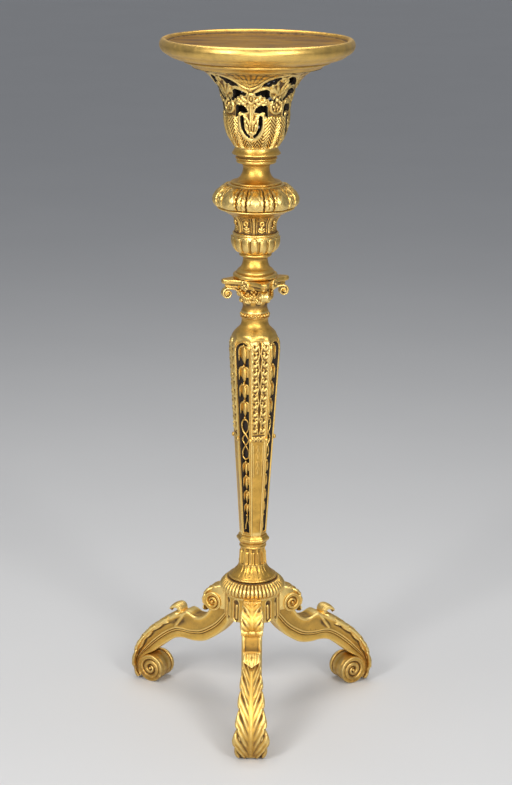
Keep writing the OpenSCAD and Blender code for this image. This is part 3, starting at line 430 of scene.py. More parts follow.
def smooth_line(points, step=1.6):
    """A smooth line through the points, with a corner at each point that is given twice."""
    runs, run = [], [points[0]]
    for point in points[1:]:
        if tuple(point) == tuple(run[-1]):
            runs.append(run)
            run = [point]
        else:
            run.append(point)
    runs.append(run)
    line = []
    for run in runs:
        p = np.array(run, float)
        if len(p) < 2:
            continue
        length = np.linalg.norm(np.diff(p, axis=0), axis=1)
        slope = np.diff(p, axis=0) / length[:, None]
        tangent = np.empty_like(p)
        tangent[0], tangent[-1] = slope[0], slope[-1]
        if len(p) > 2:
            share = (length[:-1] / (length[:-1] + length[1:]))[:, None]
            tangent[1:-1] = slope[:-1] * (1 - share) + slope[1:] * share
            tangent[0] = 1.5 * slope[0] - 0.5 * tangent[1]
            tangent[-1] = 1.5 * slope[-1] - 0.5 * tangent[-2]
        for i in range(len(p) - 1):
            t = np.linspace(0, 1, max(1, math.ceil(length[i] / step)), endpoint=False)[:, None]
            line.append((2 * t**3 - 3 * t**2 + 1) * p[i] + (t**3 - 2 * t**2 + t) * length[i] * tangent[i]
                        + (3 * t**2 - 2 * t**3) * p[i + 1] + (t**3 - t**2) * length[i] * tangent[i + 1])
        line.append(p[-1:])
    line = np.concatenate(line)
    keep = np.r_[True, np.linalg.norm(np.diff(line, axis=0), axis=1) > 1e-6]
    return line[keep]


def along_line(points, count, step=0.5):
    """A smooth line through the points, as `count` points at even distances."""
    line = smooth_line(points, step)
    far = np.r_[0, np.cumsum(np.linalg.norm(np.diff(line, axis=0), axis=1))]
    where = np.linspace(0, far[-1], count)
    return np.stack([np.interp(where, far, line[:, axis]) for axis in range(line.shape[1])], 1)


def spin(outline, sectors=160, relief=None, turn=0.0, ring=False, level=False):
    """Spins a (radius, height) outline round the column. `relief` is a function of angle, height and
    radius that says how far the surface stands out, square to it or, with `level`, straight out from
    the axis. `ring` joins the outline's two ends instead of closing each on the axis."""
    line = np.asarray(outline, float)
    ahead, behind = np.roll(line, -1, 0), np.roll(line, 1, 0)
    if not ring:
        ahead[-1], behind[0] = line[-1], line[0]
    along = np.tile([0.0, 1.0], (len(line), 1)) if level else unit(ahead - behind)
    angle = np.linspace(0, 2 * math.pi, sectors, endpoint=False)
    theta, radius = np.meshgrid(angle, line[:, 0])
    height = np.repeat(line[:, 1:], sectors, 1)
    out = relief(theta, height, radius) if relief else 0.0
    r = radius + along[:, 1:] * out
    z = height - along[:, :1] * out
    bearing = theta + turn - math.pi / 2
    points = np.stack([r * np.cos(bearing), r * np.sin(bearing), z], -1).reshape(-1, 3)
    faces = [tube_faces(len(line), sectors, ring)]
    if not ring:
        last = (len(line) - 1) * sectors
        points = np.concatenate([points, [[0, 0, line[0, 1]], [0, 0, line[-1, 1]]]])
        faces.append(fan(np.arange(sectors)[::-1], len(points) - 2))
        faces.append(fan(last + np.arange(sectors), len(points) - 1))
    return points, faces


CARVED = {"slot": "carved_gilt", "materials": (CARVED_GOLD,)}


def turned_piece(name, node, base, outline, step=1.6, relief=None, sectors=160, ring=False,
                 slot="turned_gilt", materials=(TURNED_GOLD,), level=False, **more):
    """A turned piece whose outline is given from the height of its foot."""
    line = smooth_line(outline, step) + [0, base]
    return build(name, [spin(line, sectors, relief, ring=ring, level=level)], materials, slot, [node], **more)


def hand_wobble(amount=0.12, seed=0):
    """The slight unevenness of old turning, as a relief."""
    rng = np.random.default_rng(seed)
    phase = rng.uniform(0, 2 * math.pi, 6)

    def relief(theta, height, radius):
        waves = (np.sin((k + 2) * theta + height * 0.05 * (k + 1) + phase[k]) / (k + 1) for k in range(6))
        return amount * sum(waves)

    return relief


# %% [markdown]
# ## The plain turned parts
# The tray, the rings and the necks are straight from the lathe. Each outline was measured off the
# photograph in millimetres from the piece's own foot.

# %% The tray
TRAY_FOOT = foot("tray")
DISH = 32.6
DISH_R = 171.5
tray_edge = smooth_line([
    (120, 0.3), (144, 0.3), (144, 0.3), (146, 1.2), (152, 1.6), (160, 3), (168, 6), (175, 10.5), (177.5, 13),
    (177.5, 13), (180, 13.4), (180, 13.4), (181.5, 14.5), (185.5, 18), (188.5, 23), (189.8, 28), (189.2, 33),
    (187, 37.5), (184.5, 39.9), (181.5, 40.65), (178.5, 40.1), (176.5, 38.6), (174.8, 35.2), (173, DISH),
    (173, DISH), (DISH_R, DISH - 0.2)], 1.2)
dish_line = np.stack([np.linspace(DISH_R, 2, 40), np.full(40, DISH - 0.2)], 1)
rim_rows = len(tray_edge)
tray_line = np.concatenate([[[2, 0.3], [60, 0.3]], tray_edge, dish_line[1:]]) + [0, TRAY_FOOT]
TRAY_SECTORS = 200
tray_points, (around, under, middle) = spin(tray_line, TRAY_SECTORS, hand_wobble(0.16, 3))
rim_count = (rim_rows + 1) * TRAY_SECTORS
build("tray_top", [(tray_points, [around[:rim_count], under, around[rim_count:], middle], (0, 0, 1, 1))],
      (TURNED_GOLD, DISH_GOLD), "tray_gilt", ["tray"])

# %% The rings and necks
turned_piece("under_tray_ring", "tray_ring", foot("tray_ring"), [
    (100, 0.2), (126, 0.2), (126, 0.2), (127.2, 1.6), (129, 3), (131, 4.6), (134.5, 6.8), (139.5, 8.6),
    (142, 9.2), (142, 9.2), (143.6, 10.6), (144, 12.2), (143.4, 13.8), (143.4, 13.8), (100, 13.8),
    (100, 13.8), (100, 0.2)], ring=True, slot="tray_gilt", sectors=220, relief=hand_wobble(0.14, 5))

turned_piece("bevelled_ring", "neck_ring", foot("neck_ring"), [
    (2, 0.2), (40.6, 0.2), (40.6, 0.2), (41.4, 1.1), (41.4, 2.5), (40.4, 3.6), (38.4, 4.0), (38.4, 4.0),
    (38.8, 6.2), (41.6, 8.4), (46.6, 9.6), (46.6, 9.6), (48, 10.4), (48, 12.0), (48, 12.0), (45.2, 16.0),
    (43.4, 19.6), (42.2, 22.8), (42.2, 22.8), (2, 22.8)], relief=hand_wobble(0.12, 7))

turned_piece("turned_neck", "neck", foot("neck"), [
    (2, 0.1), (49.6, 0.1), (49.6, 0.1), (50.4, 0.8), (50.4, 2.2), (49.2, 3.4), (44.5, 4.6), (38, 7.4),
    (33.2, 11), (29.6, 16), (27.4, 22), (26.3, 28), (26.5, 33), (27.8, 36.6), (30.0, 39.2), (30.0, 39.2),
    (36.4, 40.2), (36.4, 40.2), (38.6, 41.2), (39.5, 44), (38.6, 47), (36.6, 47.9), (36.6, 47.9), (2, 47.9)],
    relief=hand_wobble(0.14, 9))

PLINTH_FOOT = foot("plinth")
turned_piece("turned_plinth", "plinth", PLINTH_FOOT, [
    (2, 0.1), (40.5, 0.1), (40.5, 0.1), (43.2, 1.4), (44.6, 4.6), (44.0, 8), (41.6, 9.8), (41.6, 9.8),
    (37.6, 10.4), (37.6, 10.4), (37.8, 12.0), (37.2, 14.2), (35.2, 16.6), (33.6, 18.4), (33.6, 18.4),
    (31.6, 19.6), (28.6, 23), (26.4, 28), (25, 34), (24.5, 39.2), (25.2, 42), (27, 43.6), (27, 43.6),
    (30.8, 44.4), (32.6, 46.4), (32.4, 48.6), (30.8, 50.6), (30.8, 50.6), (2, 50.6)],
    relief=hand_wobble(0.12, 11))

# %% [markdown]
# ## Carving as a height
# A carver lowers the ground and leaves the ornament standing. In numbers, that is a height over the
# surface at every point. The helpers below give such heights: a dome, a fold that repeats a motif
# round the column, and an acanthus leaf with its rib, lobes and dark eyes. Sculpting each leaf by hand
# would take days, and a leaf that is a formula fits any place.

# %% Heights that ornaments are made of


def rise(x, low, high):
    """0 below low, 1 above high, and a soft step between."""
    t = np.clip((x - low) / (high - low), 0, 1)
    return t * t * (3 - 2 * t)


def dome(x):
    """A round top over -1..1."""
    return np.sqrt(np.clip(1 - np.asarray(x, float) ** 2, 0, 1))


def fold(theta, count, centre=0.0):
    """Degrees from the nearest of `count` motifs round the column, the first of them at `centre`."""
    step = 360 / count
    return (np.degrees(theta) - centre + step / 2) % step - step / 2


def acanthus(u, v, length, width, lobes=4, sweep=0.9):
    """Height from 0 to 1 of a leaf that grows from (0, 0) to (0, length)."""
    t = np.clip(v / length, 0, 1)
    half = width / 2 * (0.42 + 0.58 * np.sin(math.pi * np.clip(t * 0.86 + 0.10, 0, 1)) ** 0.8)
    side = np.abs(u) / half
    beat = t * lobes - side * sweep
    lobe = np.abs(np.sin(math.pi * beat)) ** 0.6
    edge = (0.74 + 0.26 * lobe) * dome(np.clip((t - 0.72) / 0.28, 0, 1)) ** 0.7
    inside = dome(np.clip(side / np.maximum(edge, 1e-3), 0, 1)) ** 0.7
    rib = np.exp(-((u / (width * 0.045)) ** 2)) * (1 - 0.6 * t)
    fingers = 0.62 + 0.38 * lobe
    eye = np.exp(-(((side - 0.52) / 0.12) ** 2 + ((np.abs((beat + 0.5) % 1 - 0.5)) / 0.16) ** 2))
    height = inside * (fingers - 0.55 * eye) * (0.75 + 0.25 * side) + 0.28 * rib * inside
    return np.where((v > 0) & (v < length), np.clip(height, 0, 1.3), 0.0)


def rosette(u, v, radius, petals=6):
    """Height from 0 to 1 of a round flower about (0, 0)."""
    far = np.hypot(u, v) / radius
    around = np.arctan2(v, u)
    petal = 0.55 + 0.45 * np.abs(np.cos(petals * around / 2))
    leaf = dome(far) * petal * rise(far, 0.26, 0.42)
    return np.where(far < 1, np.maximum(leaf, 0.95 * dome(far / 0.32)), 0.0)


def ridge(distance, half_width):
    """A rounded strap along a line, from the distance to that line."""
    return dome(np.clip(distance / half_width, 0, 1))


def off_line(u, v, points):
    """Distance from (u, v) to a line through the points."""
    best = np.full(np.broadcast(u, v).shape, 1e9)
    for (ax, ay), (bx, by) in zip(points[:-1], points[1:]):
        dx, dy = bx - ax, by - ay
        t = np.clip(((u - ax) * dx + (v - ay) * dy) / (dx * dx + dy * dy + 1e-12), 0, 1)
        best = np.minimum(best, np.hypot(u - ax - t * dx, v - ay - t * dy))
    return best


def from_shape(x, z, corners):
    """Distance from the edge of a closed shape, less than 0 inside it."""
    far = off_line(x, z, corners + corners[:1])
    inside = np.zeros(far.shape, bool)
    for (ax, az), (bx, bz) in zip(corners, corners[1:] + corners[:1]):
        inside ^= ((az > z) != (bz > z)) & (x < ax + (z - az) * (bx - ax) / (bz - az + 1e-12))
    return np.where(inside, -far, far)


# %% [markdown]
# ## The knop, the frieze and the cup
# The knop is a flattened ball with nine swelling lobes, and a leafy dart stands between each two.
# Below it the frieze has upright bars with a small leaf between each two, and the cup has sixteen
# lobes with round heads. All three are spun outlines with a height on top.

# %% The knop
KNOP_FOOT = foot("knop")
KNOP_LOBES = 9
KNOP_TURN = -1


def knop_carving(theta, height, radius):
    """Lobes with a rolled edge, a dart in each gap, and hanging leaf tips over the lobes' heads."""
    x = np.abs(fold(theta, KNOP_LOBES, KNOP_TURN)) / (180 / KNOP_LOBES)
    up = height - KNOP_FOOT
    hold = rise(up, 14.6, 19) * (1 - rise(up, 50, 58))
    split = 0.66 - 0.045 * np.abs(np.sin(up * math.pi / 8.5))
    lobe = 6.6 * dome(x / (split + 0.03)) ** 0.75 + 1.2 * ridge(np.abs(x - split + 0.10), 0.055)
    dart = (1 - x) / (1 - split)
    leaf = 5.4 * dome(dart) ** 0.6 - 1.8 * np.exp(-((dart / 0.16) ** 2))
    veins = 0.6 * np.sin((up + 15 * dart) * 2 * math.pi / 8.5) * (dart < 0.92)
    surface = np.where(x < split, lobe, leaf + veins) - 3.6 * np.exp(-(((x - split) / 0.04) ** 2))
    tips = 1.5 * acanthus(x * 27, 56 - up, 33, 21, 3) * (x < split - 0.02)
    return hold * (surface - 3.0) + tips * rise(57 - up, 0, 3)


turned_piece("lobed_knop", "knop", KNOP_FOOT, [
    (2, 0.2), (54, 0.2), (54, 0.2), (57, 1.2), (66, 6.2), (73, 9.6), (73, 9.6), (75.8, 10.4), (77.2, 12),
    (76, 13.8), (73.4, 14.4), (73.4, 14.4), (77, 17), (80.5, 22), (82, 27), (82, 32), (80.2, 37),
    (76.5, 42.4), (71, 47.4), (64.5, 52), (58.5, 55.6), (58.5, 55.6), (56.2, 57.6), (55.8, 58.6),
    (52.4, 59.8), (52.4, 59.8), (2, 59.8)], 1.4, knop_carving, 414, **CARVED, reach=18, depth=1.6)

# %% The frieze
FRIEZE_FOOT = foot("frieze")
FRIEZE_BAYS = 8
FRIEZE_TURN = 17.6
FRIEZE_R = 41


def frieze_carving(theta, height, radius):
    """A bar at each join of two bays, and a leaf in the middle of a bay."""
    x = fold(theta, FRIEZE_BAYS, FRIEZE_TURN)
    u = np.radians(x) * FRIEZE_R
    from_bar = np.radians(180 / FRIEZE_BAYS - np.abs(x)) * FRIEZE_R
    up = height - FRIEZE_FOOT
    hold = rise(up, 5, 7) * (1 - rise(up, 37, 40))
    bar = 2.9 * ridge(from_bar, 3.0) - 1.1 * np.exp(-((from_bar / 0.7) ** 2))
    side_bar = 1.6 * ridge(np.abs(from_bar - 5.6), 1.3)
    leaf = 3.4 * acanthus(u, up - 6, 15, 17, 3)
    veil = 1.5 * acanthus(u, 38 - up, 9, 20, 2)
    return hold * np.maximum.reduce([bar, side_bar, leaf, veil]) - 0.5 * hold


turned_piece("barred_frieze", "frieze", FRIEZE_FOOT, [
    (2, 0.2), (44.5, 0.2), (44.5, 0.2), (45.9, 1.2), (46.0, 3.2), (44.5, 4.6), (42, 5.2), (42, 5.2),
    (40.4, 7), (39.6, 11), (39.4, 17), (40.2, 23), (41.8, 29), (44, 33.6), (47.6, 37.6), (52, 40.4),
    (54, 41.6), (54, 41.6), (2, 41.6)], 1.3, frieze_carving, 400, **CARVED, reach=30, depth=1.1)

# %% The cup
CUP_FOOT = foot("vase_cup")
CUP_LOBES = 16
CUP_TURN = -3


def cup_carving(theta, height, radius):
    """Round-headed lobes with a thin edge between each two."""
    x = fold(theta, CUP_LOBES, CUP_TURN) / (180 / CUP_LOBES)
    up = height - CUP_FOOT
    head_line = 34 - 5.5 * (1 - dome(np.clip(np.abs(x) / 0.9, 0, 1)))
    hold = rise(up, 1.0, 5) * (1 - rise(up, head_line - 1.6, head_line))
    lobe = 3.6 * dome(x / 0.84) ** 0.75
    edge = 1.5 * ridge(np.abs(np.abs(x) - 0.97), 0.09)
    return hold * np.maximum(lobe, edge) - 2.4 * hold * (1 - rise(up, 30, 34)) + 0.6 * rise(up, 34, 36)


turned_piece("lobed_cup", "vase_cup", CUP_FOOT, [
    (2, 0.2), (32, 0.2), (32, 0.2), (34, 1), (38.2, 3.6), (42.2, 7.6), (45.4, 13), (47.2, 19), (47.8, 25),
    (47.4, 31), (45.8, 34.6), (44.2, 36.6), (44.2, 36.6), (2, 36.6)], 1.3, cup_carving, 400, **CARVED,
    reach=16, depth=1.2)

# %% The dome on the shaft
SHAFT_TURN = 14.7
SHOULDER_FOOT = foot("shaft_shoulder")


def flat_sides(theta, radius):
    """What takes a round outline down to eight flat sides that face the way of the shaft's boards."""
    a = np.radians(fold(theta, 8, SHAFT_TURN))
    return radius * (math.cos(math.pi / 8) / np.cos(a) - 1)


def eight_at_foot(theta, height, radius):
    """The dome starts as eight flat sides on the shaft, and is round a little higher up."""
    return flat_sides(theta, radius) * (1 - rise(height - SHOULDER_FOOT, 0, 11)) * rise(radius, 20, 30)


turned_piece("domed_shoulder", "shaft_shoulder", SHOULDER_FOOT, [
    (2, 0), (47.4, 0), (47.4, 0), (47.2, 1.5), (45.6, 5), (42.8, 9.4), (39.2, 13.6), (35.4, 17.4),
    (31.8, 20.8), (29.2, 24.2), (27.7, 28), (26.8, 33), (26.7, 37), (27.4, 40), (28.4, 41.4), (28.4, 41.4),
    (29.6, 42.2), (29.6, 43.7), (29.6, 43.7), (2, 43.7)], relief=eight_at_foot, level=True)

# %% [markdown]
# ## The foot of the column
# From the shaft down come an eight-sided collar, a fluted neck, a cap with upright leaves, a ring of
# forty-eight reeds, and the hub with its stopped flutes. The reeds could be separate rods, but they
# are cut in one ring of wood, so they are one height that repeats.

# %% The collar, neck and cap
COLLAR_FOOT = foot("shaft_collar")
collar_line = smooth_line([
    (2, 0.2), (27, 0.2), (27, 0.2), (28.6, 0.8), (28.8, 2.4), (27.8, 3.2), (27.8, 3.2), (31.2, 5.4),
    (33.8, 8), (34.4, 10.6), (33.8, 13.2), (33.8, 13.2), (31.2, 15.6), (29.6, 19.8), (29.6, 19.8),
    (2, 19.8)]) + [0, COLLAR_FOOT]


def eight_sides(theta, height, radius):
    """Flats on the collar, which fade out towards its middle."""
    return flat_sides(theta, radius) * rise(radius, 20, 28)


build("eight_sided_collar", [spin(collar_line, 192, eight_sides, level=True)], (TURNED_GOLD,), "turned_gilt",
      ["shaft_collar"], sharp=40)

NECK_FLUTES = 12
NECK_TURN = 5
CAP_FOOT = foot("hub_cap")
LOWER_NECK_FOOT = head("hub_cap")


def neck_flutes(theta, height, radius):
    """Upright hollows, each filled in its lower part by a tongue."""
    x = fold(theta, NECK_FLUTES, NECK_TURN) / (180 / NECK_FLUTES)
    up = height - LOWER_NECK_FOOT
    hold = rise(up, -1, 1) * (1 - rise(up, 33.0, 35.5 - 3 * x**2))
    groove = -3.0 * dome(x / 0.62)
    tongue = 2.2 * ridge(x, 0.26) * (1 - rise(up, 24, 27))
    return hold * (groove + tongue)


turned_piece("fluted_neck", "lower_neck", LOWER_NECK_FOOT, [
    (2, 0.1), (27.6, 0.1), (27.6, 0.1), (26.6, 3), (26.0, 8), (25.6, 16), (25.7, 30), (26.2, 34), (26.2, 34),
    (27.6, 35), (28, 37), (27.4, 38.8), (26.2, 39.4), (26.2, 39.4), (26.2, 41.9), (26.2, 41.9), (2, 41.9)],
    1.3, neck_flutes, 300, reach=8, depth=0.9)


def cap_carving(theta, height, radius):
    """Broad leaves that stand side by side, with a drilled dot between their feet."""
    x = fold(theta, NECK_FLUTES, NECK_TURN) / (180 / NECK_FLUTES)
    up = height - CAP_FOOT
    width = 1.0 - 0.12 * rise(up, 10, 30)
    hold = rise(up, 8.5 + 5 * np.abs(x) ** 2, 12 + 5 * np.abs(x) ** 2)
    leaf = 1.7 * dome(x / width) ** 0.7 - 0.5 * np.exp(-((x / 0.14) ** 2))
    dot = -0.8 * np.exp(-(((1 - np.abs(x)) / 0.16) ** 2 + ((up - 9.5) / 1.8) ** 2))
    return hold * (leaf - 1.2) + dot


turned_piece("leafy_cap", "hub_cap", CAP_FOOT, [
    (2, 0.2), (47.8, 0.2), (47.8, 0.2), (49.6, 0.9), (49.8, 2.8), (48.4, 4), (46, 4.4), (46, 4.4),
    (45.6, 5.4), (43.6, 7.4), (39.6, 11), (35.2, 15.4), (31.8, 20), (29.4, 25), (28.2, 30.8), (28.2, 30.8),
    (2, 30.8)], 1.3, cap_carving, 288, reach=8, depth=0.9)

# %% The reeded ring
REEDS = 48
RING_FOOT = foot("gadroon_ring")


def reeds(theta, height, radius):
    """Round reeds side by side, on the swell of the ring."""
    x = fold(theta, REEDS) / (180 / REEDS)
    up = height - RING_FOOT
    hold = rise(up, 1.4, 4.5) * (1 - rise(up, 26.5, 29.5))
    return hold * (4.4 * dome(x / 1.06) ** 0.9 - 3.2) - 0.8 * rise(up, 27, 29)


turned_piece("reeded_ring", "gadroon_ring", RING_FOOT, [
    (2, 0.3), (56.4, 0.3), (56.4, 0.3), (59, 0.6), (62.6, 2.4), (65.4, 5.6), (66.8, 9.6), (66.6, 13.6),
    (64.6, 18), (61, 22.4), (56.6, 26.2), (52.8, 28.6), (50.6, 29.4), (50.6, 30.8), (50.6, 30.8), (2, 30.8)],
    1.4, reeds, 480, **CARVED, reach=8, depth=1.1)

# %% The hub
HUB_FOOT = foot("hub")
HUB_R = 57
FLUTES_IN_BAY = 3
FLUTE_STEP = 24
FLUTE_LOW, FLUTE_HIGH, STOP_HIGH = 9, 43, 36


def hub_flutes(theta, height, radius):
    """Stopped flutes in the three bays between the legs."""
    leg_bay = fold(theta, 3, 60)
    x = (leg_bay + FLUTE_STEP / 2) % FLUTE_STEP - FLUTE_STEP / 2
    u = np.radians(x) * HUB_R
    up = height - HUB_FOOT
    inside = (np.abs(leg_bay) < FLUTES_IN_BAY * FLUTE_STEP / 2) & (radius > 50)
    far = np.hypot(u, np.maximum(0, np.maximum(FLUTE_LOW - up, up - FLUTE_HIGH)))
    flute = -3.4 * dome(far / 6.4)
    tongue = 2.6 * ridge(np.hypot(u, np.maximum(0, np.maximum(FLUTE_LOW - up, up - STOP_HIGH))), 3.2)
    rim = 0.8 * ridge(np.abs(far - 7.8), 1.1)
    dot = -1.8 * np.exp(-((np.hypot(u, up - 52) / 1.2) ** 2))
    return np.where(inside, flute + tongue * (far < 6.4) + rim + dot, 0.0)


turned_piece("fluted_hub", "hub", HUB_FOOT, [
    (2, 0.3), (52, 0.3), (52, 0.3), (55.6, 0.6), (56.8, 1.6), (HUB_R, 3), (HUB_R, 30), (HUB_R, 54.6),
    (HUB_R, 54.6), (55.4, 55.6), (55.4, 56.8), (55.4, 56.8), (2, 56.8)], 1.7, hub_flutes, 480, **CARVED,
    reach=8, depth=1.0)

# %% [markdown]
# ## Sheets with openings
# The panels of the shaft, the bell and the small flowers are sheets of wood with shapes sawn out. A
# boolean cut through a carved mesh is slow and leaves slivers. Here a function says how far each point
# of a grid is from the sawn edge. Points near the edge slide onto it, and cells in the opening go.

# %% A sheet from a grid


def grid_faces(rows, columns):
    """Four-sided faces over an open grid of points."""
    i, j = np.meshgrid(np.arange(rows - 1), np.arange(columns - 1), indexing="ij")
    a = (i * columns + j).ravel()
    return np.stack([a, a + 1, a + columns + 1, a + columns], -1)


def cut_sheet(u, v, place, wall, left=None, relief=None, closed=False):
    """A closed shell over a grid. place(u, v, out) gives its points, wall its thickness, and left(u, v)
    the distance in mm from the sawn edge, more than 0 where wood is left. `closed` joins the sides."""
    u, v = u.copy(), v.copy()
    rows, columns = u.shape
    faces = tube_faces(rows, columns) if closed else grid_faces(rows, columns)
    if left:
        cell = abs(np.median(np.diff(v, axis=0)))
        inner = np.ones(u.shape, bool)
        inner[[0, -1], :] = False
        if not closed:
            inner[:, [0, -1]] = False
        for _ in range(2):
            f = left(u, v)
            fu, fv = (left(u + 0.1, v) - f) / 0.1, (left(u, v + 0.1) - f) / 0.1
            move = np.where(inner & (np.abs(f) < 0.6 * cell), f / np.maximum(fu**2 + fv**2, 0.3), 0)
            u, v = u - move * fu, v - move * fv
        f = left(u, v).ravel()
        faces = faces[(f[faces] > -0.15 * cell).all(1) & (f[faces].mean(1) > 0.03 * cell)]
    out = relief(u, v) if relief else 0 * u
    front, back = place(u, v, out).reshape(-1, 3), place(u, v, 0 * u - wall).reshape(-1, 3)
    count = len(front)
    a, b = faces.ravel(), np.roll(faces, -1, 1).ravel()
    rim = ~np.isin(a * count + b, b * count + a)
    walls = np.stack([b[rim], a[rim], a[rim] + count, b[rim] + count], -1)
    hidden = np.concatenate([faces[:, ::-1] + count, walls])
    used = np.unique(np.concatenate([faces, hidden]))
    number = np.zeros(2 * count, int)
    number[used] = np.arange(len(used))
    return np.concatenate([front, back])[used], [number[faces], number[hidden]]


def loft(rings):
    """A closed shell through rings of points, with its two ends closed."""
    rings = np.asarray(rings, float)
    rows, columns = rings.shape[:2]
    points = np.concatenate([rings.reshape(-1, 3), [rings[0].mean(0), rings[-1].mean(0)]])
    last = (rows - 1) * columns
    return points, [tube_faces(rows, columns), fan(np.arange(columns)[::-1], len(points) - 2),
                    fan(last + np.arange(columns), len(points) - 1)]


def slab(front, back):
    """A closed shell between two grids of points."""
    return loft(np.concatenate([front, back[:, ::-1]], 1))


def rod(path, radius, sides=8, flat=1.0, up=(0, 0, 1)):
    """A round or flattened rod along a path. `radius` is one number or one for each point."""
    path = np.asarray(path, float)
    ahead, behind = np.concatenate([path[1:], path[-1:]]), np.concatenate([path[:1], path[:-1]])
    along = unit(ahead - behind)
    side = unit(np.cross(along, up))
    over = np.cross(side, along)
    a = np.linspace(0, 2 * math.pi, sides, endpoint=False)
    r = np.broadcast_to(radius, len(path))[:, None, None]
    section = np.cos(a)[:, None] * side[:, None] + flat * np.sin(a)[:, None] * over[:, None]
    return loft(path[:, None] + r * section)


def turned_about(points, angle):
    """Points turned about the column by an angle in degrees."""
    c, s = math.cos(math.radians(angle)), math.sin(math.radians(angle))
    p = np.asarray(points, float)
    return np.stack([c * p[..., 0] - s * p[..., 1], s * p[..., 0] + c * p[..., 1], p[..., 2]], -1)


# %% [markdown]
# ## The shaft
# The shaft is a dark post with eight tapered boards round it. Four broad pilasters are carved with
# tiers of acanthus above, a band of flowers, two small husks and a plain foot. Four narrower panels
# are pierced by a tall arched opening with a bead round it. The wood's own taper is kept by giving each
# board's carving in millimetres across the board and up the shaft.

# %% The boards of the shaft
SHAFT_FOOT = foot("pilaster_1")
SHAFT_HEAD = head("pilaster_1")
PILASTER_HALF = 24
PANEL_HALF = 21
BOARD = 9.6
FOOT_CORNER = 26.5
SPREAD = 26.0
DRAW_IN_FROM = 26


def shaft_corner(z):
    """Distance of the shaft's corners from its axis. Near the top they draw in under the dome."""
    draw_in = np.clip((z - SHAFT_HEAD + DRAW_IN_FROM) / DRAW_IN_FROM, 0, 1)
    return FOOT_CORNER + SPREAD * (z - SHAFT_FOOT) / (SHAFT_HEAD - SHAFT_FOOT) - 5.0 * draw_in**2


def board_grid(half, columns, rows):
    """A grid over a board: the distance across it from its middle, and the height."""
    z, share = np.meshgrid(np.linspace(SHAFT_FOOT + 0.1, SHAFT_HEAD - 0.1, rows), np.linspace(-1, 1, columns),
                           indexing="ij")
    return share * shaft_corner(z) * math.sin(math.radians(half)), z


def board_place(angle, half):
    """Where a point of a board is: u across it, v up the shaft, and out from its face."""
    def place(u, v, out):
        face = shaft_corner(v) * math.cos(math.radians(half))
        x = u * np.where(out < 0, (face + out) / face, 1)
        return turned_about(np.stack([face + out, x, v], -1), angle)

    return place


# %% The pilasters
TIER_FOOT = 603
LOBE_RISE = 17.3
BELTS = (604, 584.5)
FLOWER_Z = 594
HUSK_HEADS = (581, 548)
PLAIN_HEAD = 588


def pilaster_carving(u, v):
    """Tiers of acanthus: curled lobes with drilled eyes up both sides, and a pointed tip in the middle."""
    half = shaft_corner(v) * math.sin(math.radians(PILASTER_HALF))
    edge, side = half - np.abs(u), np.abs(u) / half
    beat = (v - TIER_FOOT - 9 * side) / LOBE_RISE
    down = (beat % 1 - 0.5) * LOBE_RISE
    out = np.abs(u) - 0.58 * half
    curl = np.hypot(out / 1.05 + 0.12 * down, down * 0.72)
    lobe = np.maximum.reduce([
        3.1 * ridge(np.abs(curl - 4.3), 2.5) * rise(3.6 - down, 0, 2.5),
        1.7 * rise(side, 0.2, 0.4) * dome(down / 9.5),
        2.7 * ridge(np.abs(out + 0.62 * down + 0.6), 1.9) * rise(down, -1, 2)])
    eye = -3.0 * np.exp(-((out / 1.8) ** 2 + ((down - 0.6) / 2.1) ** 2))
    below = (1 - ((v - TIER_FOOT) / (2 * LOBE_RISE)) % 1) * 2 * LOBE_RISE
    opening = np.minimum(0.24 * below, 0.14 * (2 * LOBE_RISE - below) + 0.4)
    stem = 3.0 * ridge(np.abs(np.abs(u) - opening - 1.1), 2.1) - 2.0 * rise(opening - np.abs(u), 0.2, 1.4)
    tiers = (lobe + eye + stem) * rise(v, TIER_FOOT, TIER_FOOT + 4) * rise(edge, 2.8, 4.6)
    bead = 1.7 * ridge(np.abs(edge - 1.8), 1.7)
    flowers = sum(3.2 * rosette(u - c, v - FLOWER_Z, 6.4) for c in (-10.5, 0, 10.5))
    husks = sum(2.4 * acanthus(u, top - v, 31, 12, 2, 1.2) for top in HUSK_HEADS)
    frame_line = 1.9 * ridge(np.abs(edge - 5.8), 1.2) * rise(v, 508, 514) * rise(583 - v, 0, 3)
    plain = 1.45 * dome(u / (1.15 * half)) * rise(edge, 3.0, 4.4) * (1 - rise(v, PLAIN_HEAD, PLAIN_HEAD + 4))
    belt = 1.4 * (ridge(np.abs(v - BELTS[0]), 1.6) + ridge(np.abs(v - BELTS[1]), 1.5))
    carving = np.maximum.reduce([bead, tiers, flowers, husks, frame_line, plain, belt])
    return (carving + np.minimum(0, tiers)) * rise(edge, -0.2, 1.2) * rise(SHAFT_HEAD - v, 0, 3)


for k in range(4):
    u, v = board_grid(PILASTER_HALF, 41, 310)
    place = board_place(FRONT + SHAFT_TURN + 90 * k, PILASTER_HALF)
    build(f"carved_pilaster_{k + 1}", [cut_sheet(u, v, place, BOARD, relief=pilaster_carving)],
          (CARVED_GOLD,), "shaft_gilt", [f"pilaster_{k + 1}"], reach=18, depth=1.1, sharp=55)

# %% The pierced panels
STILE = 3.4
WINDOW_FOOT = SHAFT_FOOT + 9
WINDOW_HEAD = SHAFT_HEAD - 4.5


def window_half(z):
    """Half the width of the opening at a height."""
    return shaft_corner(z) * math.sin(math.radians(PANEL_HALF)) - STILE


ARCH = window_half(WINDOW_HEAD - 15)


def from_window(u, v):
    """Distance from the edge of the arched opening, more than 0 in the wood."""
    spring = WINDOW_HEAD - ARCH
    sides = np.maximum(np.abs(u) - window_half(v), WINDOW_FOOT - v)
    return np.where(v > spring, np.hypot(u, v - spring) - ARCH, sides)


